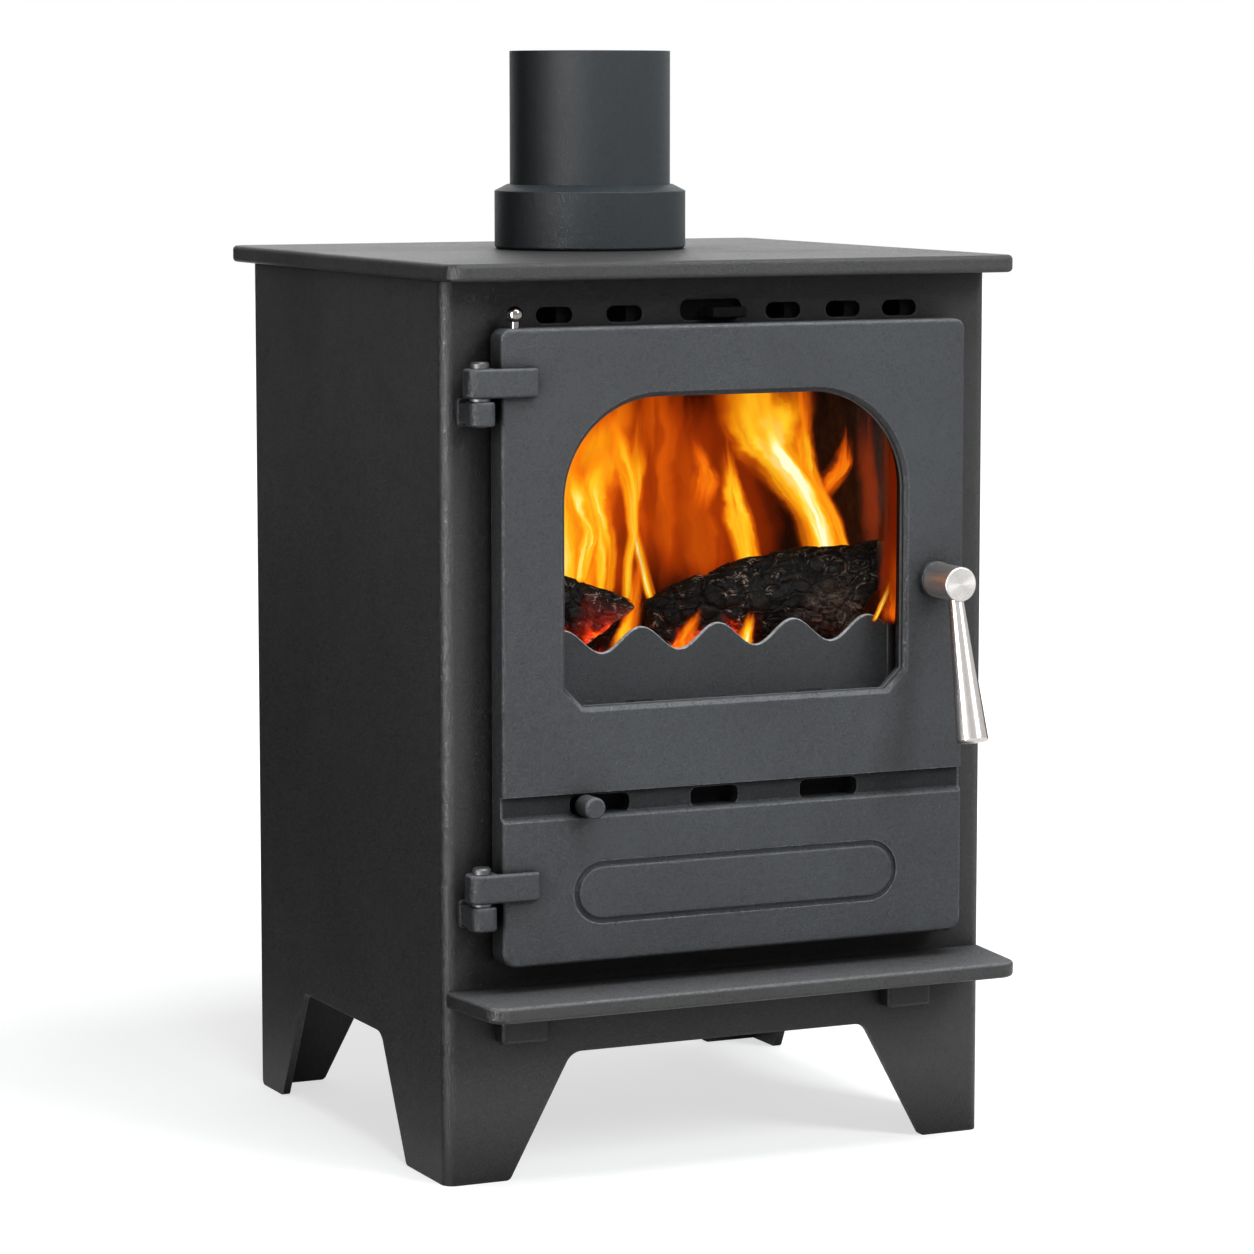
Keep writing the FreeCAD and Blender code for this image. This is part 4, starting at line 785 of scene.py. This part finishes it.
# glass screws: one socket head, set on each clip; the rim's rings are shares of the radius and the height
screws = {"radius": 0.0045, "height": 0.0026, "socket": 0.0021, "socketDepth": 0.0015, "socketSides": 6,
          "rim": ((1.0, 0.0), (1.0, 0.62), (0.93, 0.86), (0.78, 1.0)), "around": 24, "spread": 0.070,
          "upper": 0.5885, "lower": 0.341, "seed": 4}


def screwHead():
    work = bmesh.new()
    radius, height, flat = screws["radius"], screws["height"], math.pi / screws["socketSides"]
    turns = [fullTurn * i / screws["around"] for i in range(screws["around"])]

    def ring(reachAt, level):
        return [work.verts.new((reachAt(turn) * math.cos(turn), level, reachAt(turn) * math.sin(turn)))
                for turn in turns]

    def socketReach(turn):
        return screws["socket"] * math.cos(flat) / math.cos((turn % (2 * flat)) - flat)

    rings = [ring(lambda turn: radius * reach, height * level) for reach, level in screws["rim"]]
    rings += [ring(socketReach, level) for level in (height, height - screws["socketDepth"])]
    for first, second in zip(rings, rings[1:]):
        bridge(work, first, second, True)
    work.faces.new(rings[0])
    work.faces.new(rings[-1])
    bmesh.ops.recalc_face_normals(work, faces=work.faces)
    return cleanMesh(work, "screwHead")


def screwRule(tree, given):
    points = addNode(tree, "GeometryNodeMeshToPoints", {"Mesh": given["Geometry"]})
    model = addNode(tree, "GeometryNodeObjectInfo", {"Object": given["Head"]})
    turn = addNode(tree, "FunctionNodeRandomValue", {"Seed": screws["seed"]}, data_type="FLOAT")
    spin = addNode(tree, "ShaderNodeCombineXYZ", {"Y": times(turn.outputs[1], fullTurn)})
    place = addNode(tree, "GeometryNodeInstanceOnPoints", {
        "Points": points.outputs[0], "Instance": model.outputs["Geometry"], "Rotation": spin.outputs[0],
        "Scale": given["Size"]})
    return place.outputs[0]


def buildScrews():
    head = addPiece("screwHead", screwHead())
    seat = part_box("glass_clips")[1].y
    start = bpy.data.meshes.new("screwPlaces")
    start.from_pydata([(side * screws["spread"], seat, height) for side in (-1, 1)
                       for height in (screws["lower"], screws["upper"])], [], [])
    piece = growPiece("glass_screw_heads", start, "glassScrewHeads", screwRule, {"Head": head, "Size": 1.0},
                      "plainSteel")
    bpy.data.objects.remove(head)
    return takePlace(piece, "plainSteel", "plain_steel", "door", "glass_screws")


# the fuel bed: a low heap on the grate with lumps of coal scattered over it
# bumps are a height and a scale each
fuelBed = {"halfWidth": 0.176, "front": 0.020, "back": 0.300, "top": 0.054, "drop": 0.026, "dropCurve": 1.5,
           "sideDrop": 0.012, "sideCurve": 4, "bumps": ((0.010, 26), (0.005, 70)), "rim": 0.002,
           "columns": 46, "rows": 34, "lumps": 5200.0, "small": 0.0075, "large": 0.0165, "upright": 0.35,
           "knock": 1.3, "knockReach": 1.5, "turn": 6.28, "seed": 11}
bedRoom = {"side": 0.1855, "front": 0.0215, "foot": 0.0005}


def bedStart():
    work = bmesh.new()
    rows, columns = fuelBed["rows"], fuelBed["columns"]
    grid = []
    for row in range(rows + 1):
        back = row / rows
        line = []
        for column in range(columns + 1):
            side = 2 * column / columns - 1
            depth = fuelBed["front"] + back * (fuelBed["back"] - fuelBed["front"])
            place = Vector((side * fuelBed["halfWidth"], depth, 0))
            height = fuelBed["top"] - fuelBed["drop"] * back ** fuelBed["dropCurve"]
            height -= fuelBed["sideDrop"] * side ** fuelBed["sideCurve"]
            height += sum(rise * noise.noise(place * scale) for rise, scale in fuelBed["bumps"])
            if row in (0, rows) or column in (0, columns):
                height = fuelBed["rim"]
            line.append(work.verts.new((place.x, frontFace + place.y, grateTop + height)))
        grid.append(line)
    for first, second in zip(grid, grid[1:]):
        bridge(work, first, second)
    outline = grid[0] + [line[-1] for line in grid[1:]]
    outline += grid[-1][-2::-1] + [line[0] for line in grid[-2:0:-1]]
    work.faces.new(outline[::-1])
    return toMesh(work, "bedStart")


def bedRule(tree, given):
    facing = axes(addNode(tree, "GeometryNodeInputNormal").outputs[0])
    scatter = addNode(tree, "GeometryNodeDistributePointsOnFaces", {
        "Mesh": given["Geometry"], "Density": given["Density"], "Seed": given["Seed"],
        "Selection": maths("GREATER_THAN", facing["Z"], fuelBed["upright"])}, distribute_method="RANDOM")
    lump = addNode(tree, "GeometryNodeMeshIcoSphere", {"Radius": 1.0, "Subdivisions": 2})
    knock = addNode(tree, "ShaderNodeTexNoise", {"Scale": fuelBed["knock"], "Detail": 1.0})
    shove = vectorMath("SCALE", vectorMath("SUBTRACT", knock.outputs["Color"], (0.5, 0.5, 0.5)),
                       scale=fuelBed["knockReach"])
    shape = addNode(tree, "GeometryNodeSetPosition", {"Geometry": lump.outputs["Mesh"], "Offset": shove})
    turn = addNode(tree, "FunctionNodeRandomValue", {"Max": [fuelBed["turn"]] * 3, "Seed": given["Seed"]},
                   data_type="FLOAT_VECTOR")
    size = addNode(tree, "FunctionNodeRandomValue", {
        2: given["Small"], 3: given["Large"], "Seed": given["Seed"]}, data_type="FLOAT")
    place = addNode(tree, "GeometryNodeInstanceOnPoints", {
        "Points": scatter.outputs["Points"], "Instance": shape.outputs[0], "Rotation": turn.outputs[0],
        "Scale": size.outputs[1]})
    return joined(place.outputs[0], given["Geometry"])


def buildBed():
    piece = growPiece("fire_fuel_bed", bedStart(), "fuelBedLumps", bedRule, {
        "Density": fuelBed["lumps"], "Small": fuelBed["small"], "Large": fuelBed["large"],
        "Seed": fuelBed["seed"]}, "glowingCoal")
    for vertex in piece.data.vertices:      # lumps stay behind the guard and inside the bricks
        vertex.co.x = min(max(vertex.co.x, -bedRoom["side"]), bedRoom["side"])
        vertex.co.y = max(vertex.co.y, frontFace + bedRoom["front"])
        vertex.co.z = max(vertex.co.z, grateTop + bedRoom["foot"])
    return takePlace(piece, "glowingCoal", "fire_brick", "stove")


grown = [build() for build in (buildGuard, buildRope, buildScrews, buildBed)]
print("guard, rope, screws and fuel bed:", [len(piece.data.polygons) for piece in grown])


# logs: places are x, depth behind the front face and height, in metres
logs = {
    "fire_log_long": {"from": (-0.022, 0.090, 0.394), "to": (0.158, 0.065, 0.4190),
        "thick": (0.0185, 0.0335), "hang": 1.5, "bow": 0.0125, "bare": (0.112, 0.034, 0.389),
        "bareReach": 0.026, "glowTo": 0.066, "seed": 3},
    "fire_log_short": {"from": (-0.152, 0.082, 0.430), "to": (-0.064, 0.066, 0.398),
        "thick": (0.028, 0.0235), "hang": 1.35, "bow": 0.003, "bare": (-0.052, 0.046, 0.398),
        "bareReach": 0.012, "glowTo": 0.5, "seed": 21, "endGlow": 1.15},
    "fire_log_back": {"from": (-0.150, 0.190, 0.364), "to": (0.120, 0.235, 0.372), "thick": (0.028, 0.031),
        "hang": 1.3, "bow": 0.005, "bare": (0.0, 0.16, 0.40), "bareReach": 0.001, "glowTo": 0.5,
        "seed": 40},
}
# lumps and bumps are a scale and a share of the radius; plates lie along the log, with cracks between them
logShape = {"rings": 150, "around": 96, "lumps": (24, 0.13), "bumps": (60, 0.06), "ribs": (1.6, 0.10),
            "ribsAlong": 5, "ribsAround": 6, "shift": (1.7, 0.9, 2.3), "plates": 76.0, "plateLength": 0.62,
            "seam": 5.5, "crack": 0.0032, "endFrom": 0.055, "endRound": 3.2, "endLeast": 0.04,
            "endRough": (90, 0.006), "slant": 0.85, "slantFrom": 0.78, "slantRun": 0.22}
logGlow = {"patches": 34, "below": 1.35, "seam": 0.35, "seamBelow": 0.25, "patch": 0.45, "least": 0.46,
           "tailFrom": 0.66, "tailRun": 0.34, "tailMiddle": 0.60, "tailLean": 0.75, "fade": 0.03,
           "bare": 1.6, "bareFade": 1.1, "barePatch": 0.5, "ridge": 0.75, "ridgeNoise": (130, 0.5)}


def logPoint(log, centre, side, over, axis, radius, along, angle, shift):
    shape = logShape
    fromEnd = min(1.0, min(along, 1 - along) / shape["endFrom"])
    closing = math.sqrt(max(0.0, 1 - (1 - fromEnd) ** shape["endRound"]))
    out = side * math.cos(angle) + over * math.sin(angle) * (log["hang"] if math.sin(angle) < 0 else 1.0)
    place = centre + out * radius
    uneven = (shape["lumps"], shape["bumps"])
    lump = sum(noise.noise(place * scale + shift) * share for scale, share in uneven)
    ribScale, ribShare = shape["ribs"]
    around = shape["ribsAround"]
    lengthwise = Vector((along * shape["ribsAlong"], out.dot(side) * around, out.dot(over) * around))
    ribs = abs(noise.noise(lengthwise * ribScale + shift)) * ribShare
    plate = Vector((place.x * shape["plateLength"], place.y, place.z)) * shape["plates"] + shift
    near = noise.voronoi(plate)[0]
    seam = min(1.0, (near[1] - near[0]) * shape["seam"])
    reach = radius * (1 + lump - ribs) * max(shape["endLeast"], closing)
    reach -= shape["crack"] * (1 - seam) * closing
    roughScale, roughDepth = shape["endRough"]
    endRough = roughDepth * noise.noise(place * roughScale + shift) * (1 - fromEnd)
    endRough *= 1 if along > 0.5 else -1
    slant = shape["slant"] * max(0.0, along - shape["slantFrom"]) / shape["slantRun"] * out.dot(over) * reach
    return centre + out * reach + axis * (endRough + slant), (seam, out, place, along)


def logMarks(log, point, seam, out, place, along, bareAt, shift):
    # how far a point glows, is bare wood and stands out as a ridge
    glow = logGlow
    below = max(0.0, -out.z / log["hang"])
    patch = noise.noise(place * glow["patches"] + shift * 2)
    tail = log.get("endGlow", 0.0) * max(0.0, along - glow["tailFrom"]) / glow["tailRun"]
    tail *= (glow["tailMiddle"] - glow["tailLean"] * out.z) * (1 + patch)
    warm = below * glow["below"] + (1 - seam) * glow["seam"] * (below + glow["seamBelow"])
    ember = min(1.0, max(0.0, warm + patch * glow["patch"] - glow["least"], tail))
    ember *= max(0.0, min(1.0, (log["glowTo"] - point.x) / glow["fade"]))
    far = (point - bareAt).length / log["bareReach"]
    bare = max(0.0, min(1.0, glow["bare"] - far * glow["bareFade"] + patch * glow["barePatch"]))
    ridgeScale, ridgeShare = glow["ridgeNoise"]
    return ember, bare, seam * (glow["ridge"] + ridgeShare * noise.noise(place * ridgeScale + shift))


def buildLog(name, log):
    inside = Vector((0, frontFace, 0))
    start, end, bareAt = (Vector(log[key]) + inside for key in ("from", "to", "bare"))
    axis = (end - start).normalized()
    side = axis.cross(Vector((0, 0, 1))).normalized()
    over = side.cross(axis)
    shift = Vector([log["seed"] * share for share in logShape["shift"]])
    around, thick = logShape["around"], log["thick"]
    work = bmesh.new()
    layers = [work.verts.layers.float.new(label) for label in ("ember", "bare", "ridge")]
    rows, kept = [], {}
    for ring in range(logShape["rings"] + 1):
        along = ring / logShape["rings"]
        centre = start.lerp(end, along) + over * log["bow"] * math.sin(math.pi * along)
        radius = thick[0] + (thick[1] - thick[0]) * along
        row = []
        for step in range(around):
            angle = fullTurn * step / around
            point, marks = logPoint(log, centre, side, over, axis, radius, along, angle, shift)
            vertex = work.verts.new(point)
            kept[vertex] = marks
            row.append(vertex)
        rows.append(row)
    for first, second in zip(rows, rows[1:]):
        for i in range(around):
            work.faces.new((first[i], second[i], second[(i + 1) % around], first[(i + 1) % around]))
    for row, point, along in ((rows[0], start, 0.0), (rows[-1], end, 1.0)):
        tip = work.verts.new(point)
        kept[tip] = (1.0, axis, point, along)
        for i in range(around):
            work.faces.new((row[i], row[(i + 1) % around], tip))
    bmesh.ops.recalc_face_normals(work, faces=work.faces)
    for vertex, marks in kept.items():
        for layer, value in zip(layers, logMarks(log, vertex.co, *marks, bareAt, shift)):
            vertex[layer] = value
    for face in work.faces:
        face.smooth = True
    return takePlace(addPiece(name, toMesh(work, name)), "charredWood", "fire_brick", "stove")


for name, log in logs.items():
    buildLog(name, log)
print("logs:", len(logs))

# flames: a line is x, height and half width in millimetres, from the foot up; depth is from the front face
flames = {
    "fire_flames_rear": {
        "low": {"depth": 285, "heat": 0.30, "cover": 0.85, "foot": 0.3, "line": [
            (0, 370, 95), (0, 430, 105), (10, 490, 110), (20, 560, 90)]},
        "right": {"depth": 250, "heat": 0.15, "cover": 0.7, "foot": 0.3, "line": [
            (130, 380, 60), (128, 450, 70), (120, 520, 66), (110, 610, 50)]},
    },
    "fire_flames_left": {
        "glow": {"depth": 170, "heat": 0.74, "cover": 0.95, "line": [
            (-42, 400, 38), (-44, 455, 48), (-38, 498, 56), (-22, 545, 52), (-4, 625, 40)]},
        "wide": {"depth": 148, "heat": 0.86, "cover": 0.9, "line": [
            (-62, 405, 22), (-62, 450, 28), (-62, 490, 32), (-56, 530, 28), (-44, 590, 18)]},
        "edge": {"depth": 112, "heat": 1.06, "cover": 1.0, "line": [
            (-64, 424, 7), (-60, 449, 12), (-57, 467, 14), (-66, 486, 19), (-71, 508, 18), (-66, 550, 9)]},
        "second": {"depth": 132, "heat": 0.90, "cover": 0.95, "line": [
            (-36, 410, 14), (-37, 446, 19), (-40, 473, 21), (-45, 496, 19), (-39, 522, 15), (-34, 560, 8)]},
        "crossA": {"depth": 92, "heat": 0.94, "cover": 0.9, "line": [
            (-12, 408, 7), (-24, 449, 8), (-30, 474, 9), (-28, 498, 14), (-26, 526, 15), (-24, 575, 9)]},
        "crossB": {"depth": 84, "heat": 0.90, "cover": 0.9, "line": [
            (-37, 392, 9), (-37, 439, 8), (-33, 469, 9), (-35, 499, 12), (-41, 525, 14), (-51, 552, 13),
            (-62, 600, 7)]},
    },
    "fire_flames_middle": {
        "haze": {"depth": 200, "heat": 0.30, "cover": 0.85, "foot": 0.35, "line": [
            (16, 395, 44), (16, 455, 50), (10, 494, 48), (2, 540, 40), (-8, 630, 26)]},
        "veil": {"depth": 225, "heat": 0.32, "cover": 0.75, "foot": 0.2, "line": [
            (92, 395, 40), (84, 462, 52), (76, 510, 46), (70, 590, 26)]},
        "hook": {"depth": 160, "heat": 0.55, "cover": 0.85, "foot": 0.45, "line": [
            (54, 452, 14), (64, 488, 20), (62, 511, 15), (48, 540, 6)]},
        "tongue": {"depth": 122, "heat": 0.90, "cover": 1.0, "line": [
            (87, 424, 16), (77, 459, 20), (70, 483, 19), (65, 506, 14), (62, 545, 7)]},
        "drift": {"depth": 206, "heat": 0.36, "cover": 0.85, "foot": 0.25, "line": [
            (44, 385, 38), (43, 455, 42), (42, 510, 42), (40, 570, 40), (38, 680, 34)]},
    },
    "fire_flames_main": {
        "sheet": {"depth": 116, "heat": 0.98, "cover": 1.0, "line": [
            (149, 424, 22), (139, 467, 33), (119, 495, 39), (100, 522, 46), (94, 550, 57), (94, 600, 60),
            (96, 680, 52)]},
        "core": {"depth": 106, "heat": 1.22, "cover": 0.95, "line": [
            (143, 432, 13), (136, 460, 19), (122, 488, 21), (106, 515, 20), (92, 545, 17), (80, 610, 11)]},
        "right": {"depth": 126, "heat": 0.84, "cover": 0.95, "line": [
            (172, 428, 10), (157, 465, 15), (140, 495, 16), (133, 519, 15), (131, 550, 17),
            (130, 630, 12)]},
    },
    "fire_flames_right": {
        "hook": {"depth": 135, "heat": 0.54, "cover": 0.9, "foot": 0.4, "line": [
            (140, 462, 12), (160, 492, 19), (171, 511, 14), (177, 540, 5)]},
        "veil": {"depth": 86, "heat": 0.22, "cover": 0.45, "foot": 0.4, "line": [
            (172, 420, 12), (171, 470, 15), (167, 510, 13), (166, 575, 8)]},
        "glow": {"depth": 62, "heat": 0.60, "cover": 0.97, "turn": 84, "line": [
            (180, 362, 50), (181, 405, 50), (182, 440, 40), (183, 500, 22)]},
        "streak": {"depth": 50, "heat": 1.05, "cover": 1.0, "turn": 60, "line": [
            (166, 384, 5), (173, 401, 8), (179, 417, 7), (182, 436, 4)]},
        # painted glow: the last three sheets sit in front of the firebox at the right edge of the window and
        # paint the fire's light on that edge
        "rim": {"depth": -7, "heat": 0.05, "cover": 0.8, "foot": 0.3, "cut": 0.55, "line": [
            (134, 396, 10), (134, 450, 10.5), (134, 520, 10.5), (133, 600, 9)]},
        "paintedRimGlow": {"depth": -6, "heat": 0.42, "cover": 0.92, "foot": 0.2, "cut": 0.55, "line": [
            (134, 396, 10), (134.5, 416, 10), (135, 442, 9.5), (136, 474, 8)]},
        "paintedRimStreak": {"depth": -4.5, "heat": 1.02, "cover": 1.0, "foot": 0.15, "line": [
            (125, 399, 3), (131, 410, 4), (137, 422, 4), (141, 438, 2.5)]},
    },
    "fire_flames_low": {
        "gapA": {"depth": 40, "heat": 0.92, "cover": 1.0, "line": [(36, 362, 13), (40, 386, 11),
            (46, 411, 4)]},
        "gapB": {"depth": 40, "heat": 0.62, "cover": 0.9, "line": [(-16, 362, 20), (-10, 388, 15),
            (2, 414, 5)]},
        "gapC": {"depth": 40, "heat": 0.90, "cover": 1.0, "line": [(-72, 362, 18), (-62, 390, 13),
            (-52, 420, 4)]},
        "seep": {"depth": 58, "heat": 0.56, "cover": 0.75, "foot": 0.2, "line": [
            (-50, 368, 13), (-47, 398, 14), (-43, 430, 10), (-40, 466, 5)]},
    },
}
flameShape = {"rows": 56, "columns": 14, "bulge": 0.30, "sway": 0.25, "swayDepth": 0.08, "swayStep": 0.11,
              "swaySeed": 5.1, "swayAt": 0.4, "foot": 0.07, "seedStep": 3.37, "firstSeed": 1.0,
              "groupStep": 17.3}
millimetre = 0.001


def lineAt(line, share):
    # a smooth line through the points
    spot = share * (len(line) - 1)
    first = min(int(spot), len(line) - 2)
    rest = spot - first
    four = [Vector(line[max(0, min(len(line) - 1, first + k))]) for k in (-1, 0, 1, 2)]
    return 0.5 * (2 * four[1] + (four[2] - four[0]) * rest
                  + (2 * four[0] - 5 * four[1] + 4 * four[2] - four[3]) * rest ** 2
                  + (3 * four[1] - four[0] - 3 * four[2] + four[3]) * rest ** 3)


def buildFlames(name, sheets, firstSeed):
    shape, work = flameShape, bmesh.new()
    layers = [work.verts.layers.float.new(label) for label in ("fireHeat", "cover", "seed", "footFade")]
    sheetMap = work.loops.layers.uv.new("sheet")
    for number, sheet in enumerate(sheets.values()):
        turn = math.radians(sheet.get("turn", 0))
        wide = Vector((math.cos(turn), math.sin(turn), 0))
        deep = Vector((-wide.y, wide.x, 0))
        marks = (sheet["heat"], sheet["cover"], firstSeed + number * shape["seedStep"],
                 sheet.get("foot", shape["foot"]))
        uv, rows = {}, []
        for i in range(shape["rows"] + 1):
            spot = lineAt(sheet["line"], i / shape["rows"]) * millimetre
            lean = noise.noise(Vector((i * shape["swayStep"], number * shape["swaySeed"] + firstSeed,
                                       shape["swayAt"])))
            sway = shape["sway"] * spot.z * lean
            depth = frontFace + sheet["depth"] * millimetre + sway * shape["swayDepth"]
            middle = Vector((spot.x, depth, spot.y))
            row = []
            for j in range(shape["columns"] + 1):
                across = 2 * j / shape["columns"] - 1
                curve = deep * shape["bulge"] * spot.z * (across ** 2 - 0.5)
                vertex = work.verts.new(middle + (wide * across * spot.z + curve))
                for layer, value in zip(layers, marks):
                    vertex[layer] = value
                uv[vertex] = (sheet.get("cut", 1.0) * j / shape["columns"], i / shape["rows"])
                row.append(vertex)
            rows.append(row)
        for first, second in zip(rows, rows[1:]):
            for face in bridge(work, first, second):
                face.smooth = True
                for loop in face.loops:
                    loop[sheetMap].uv = uv[loop.vert]
    return takePlace(addPiece(name, toMesh(work, name)), "flame", "fire_brick", "stove")


for number, (name, sheets) in enumerate(flames.items()):
    buildFlames(name, sheets, flameShape["firstSeed"] + number * flameShape["groupStep"])
print("flames:", sum(len(sheets) for sheets in flames.values()))

# floor, world, cards, lamps and camera
# a card is two corners and a height; the camera's depth is from the front face
stage = {"floor": 14.0, "floorGrey": 0.50, "dustAndUpLight": (3.0, 2.0), "dustTone": 1.02,
         "lift": (0.5, 1.5, 0.66, 1.02), "floorRough": 0.9, "floorShine": 0.1, "world": 0.28}
cards = {
    "studio_flag": {"from": (-1.15, -0.30), "to": (-0.95, 5.0), "height": 2.6},
    "studio_flag_right": {"from": (0.5, 0.9), "to": (1.5, 0.1), "height": 0.62, "glossOnly": True},
    "studio_cloth": {"from": (-1.15, -0.6), "to": (-0.26, 4.5), "height": 0.003, "flat": True,
                     "glossOnly": True},
}
clothLook = {"dark": (0.006, 0.006, 0.006), "light": (0.010, 0.010, 0.010), "weave": 60.0}
lamps = {
    "key": {"at": (2.9, -5.2, 4.2), "size": (2.2, 2.2), "power": 292.0, "colour": (0.95, 0.98, 1.0)},
    "top": {"at": (0.15, -1.1, 2.9), "size": (1.8, 1.2), "power": 78.0, "colour": (0.97, 0.99, 1.0)},
    "back": {"at": (1.0, 2.5, 1.75), "size": (2.0, 1.4), "power": 6.0, "colour": (0.96, 0.98, 1.0)},
    "strip": {"at": (-1.08, -0.58, 0.45), "size": (0.24, 1.3), "power": 40.0, "colour": (1.0, 1.0, 1.0),
              "glossOnly": True},
}
lampTarget = Vector((0, 0, 0.4))
view = {"at": (-1.46552, -2.985018, 0.79524), "pitch": -6.746476, "yaw": -24.947889, "lens": 129.516,
        "sensor": 36.0, "far": 60.0}


def seenRays(tree):
    rays = addNode(tree, "ShaderNodeLightPath").outputs
    seen = maths("MAXIMUM", rays["Is Camera Ray"], rays["Is Glossy Ray"])
    return maths("MAXIMUM", seen, rays["Is Transmission Ray"])


def addSheet(name, corners, material):
    mesh = bpy.data.meshes.new(name)
    mesh.from_pydata(corners, [], [(0, 1, 2, 3)])
    mesh.materials.append(material)
    sheet = addPiece(name, mesh)
    return sheet


def buildFloor():
    material, tree, shader = startMaterial("paleFloor")
    grey, size = stage["floorGrey"], stage["floor"]
    dustAndUpLight = noiseAt(objectPlace(tree), *stage["dustAndUpLight"])
    lift = spread(vectorMath("LENGTH", objectPlace(tree)), *stage["lift"])
    give(shader, {"Base Color": mixColour(dustAndUpLight, [grey] * 3, [grey * stage["dustTone"]] * 3),
                  "Roughness": stage["floorRough"], "Specular IOR Level": stage["floorShine"],
                  "Emission Color": (1, 1, 1), "Emission Strength": times(seenRays(tree), lift)})
    corners = [(-size, -size, 0), (size, -size, 0), (size, size, 0), (-size, size, 0)]
    addSheet("studio_floor", corners, material)


def buildWorld():
    scene.world = bpy.data.worlds.new("studio")
    scene.world.use_nodes = True
    tree = scene.world.node_tree
    tree.nodes.clear()
    strength = spread(seenRays(tree), 0.0, 1.0, stage["world"], 1.0)
    sky = addNode(tree, "ShaderNodeBackground", {"Color": (1, 1, 1), "Strength": strength})
    addNode(tree, "ShaderNodeOutputWorld", {"Surface": sky.outputs[0]})


def buildLamps():
    for name, lamp in lamps.items():
        light = bpy.data.lights.new("lamp_" + name, "AREA")
        light.shape = "RECTANGLE"
        light.size, light.size_y = lamp["size"]
        light.color = lamp["colour"]
        light.energy = lamp["power"]
        lampObject = addPiece("lamp_" + name, light)
        lampObject.location = lamp["at"]
        lampObject.rotation_euler = (lampTarget - Vector(lamp["at"])).to_track_quat("-Z", "Y").to_euler()
        lampObject.visible_camera = False
        lampObject.visible_diffuse = not lamp.get("glossOnly", False)


def buildCards():
    material, tree, shader = startMaterial("blackCloth")
    weave = noiseAt(objectPlace(tree), clothLook["weave"])
    give(shader, {"Base Color": mixColour(weave, clothLook["dark"], clothLook["light"]), "Roughness": 1.0,
                  "Specular IOR Level": 0.0})
    for name, card in cards.items():
        (x0, y0), (x1, y1), height = card["from"], card["to"], card["height"]
        corners = [(x0, y0, 0), (x1, y1, 0), (x1, y1, height), (x0, y0, height)]
        if card.get("flat"):
            corners = [(x0, y0, height), (x1, y0, height), (x1, y1, height), (x0, y1, height)]
        sheet = addSheet(name, corners, material)
        sheet.visible_camera = False
        sheet.visible_shadow = sheet.visible_diffuse = not card.get("glossOnly", False)


def buildCamera():
    lens = bpy.data.cameras.new("photoView")
    lens.sensor_width = view["sensor"]
    lens.lens = view["lens"]
    lens.clip_end = view["far"]
    scene.camera = addPiece("photoView", lens)
    scene.camera.location = Vector(view["at"]) + Vector((0, frontFace, 0))
    scene.camera.rotation_euler = (math.radians(90 + view["pitch"]), 0, math.radians(view["yaw"]))


for build in (buildFloor, buildWorld, buildLamps, buildCards, buildCamera):
    build()
scene.view_settings.view_transform = "Standard"
print("stage, lamps and camera set")
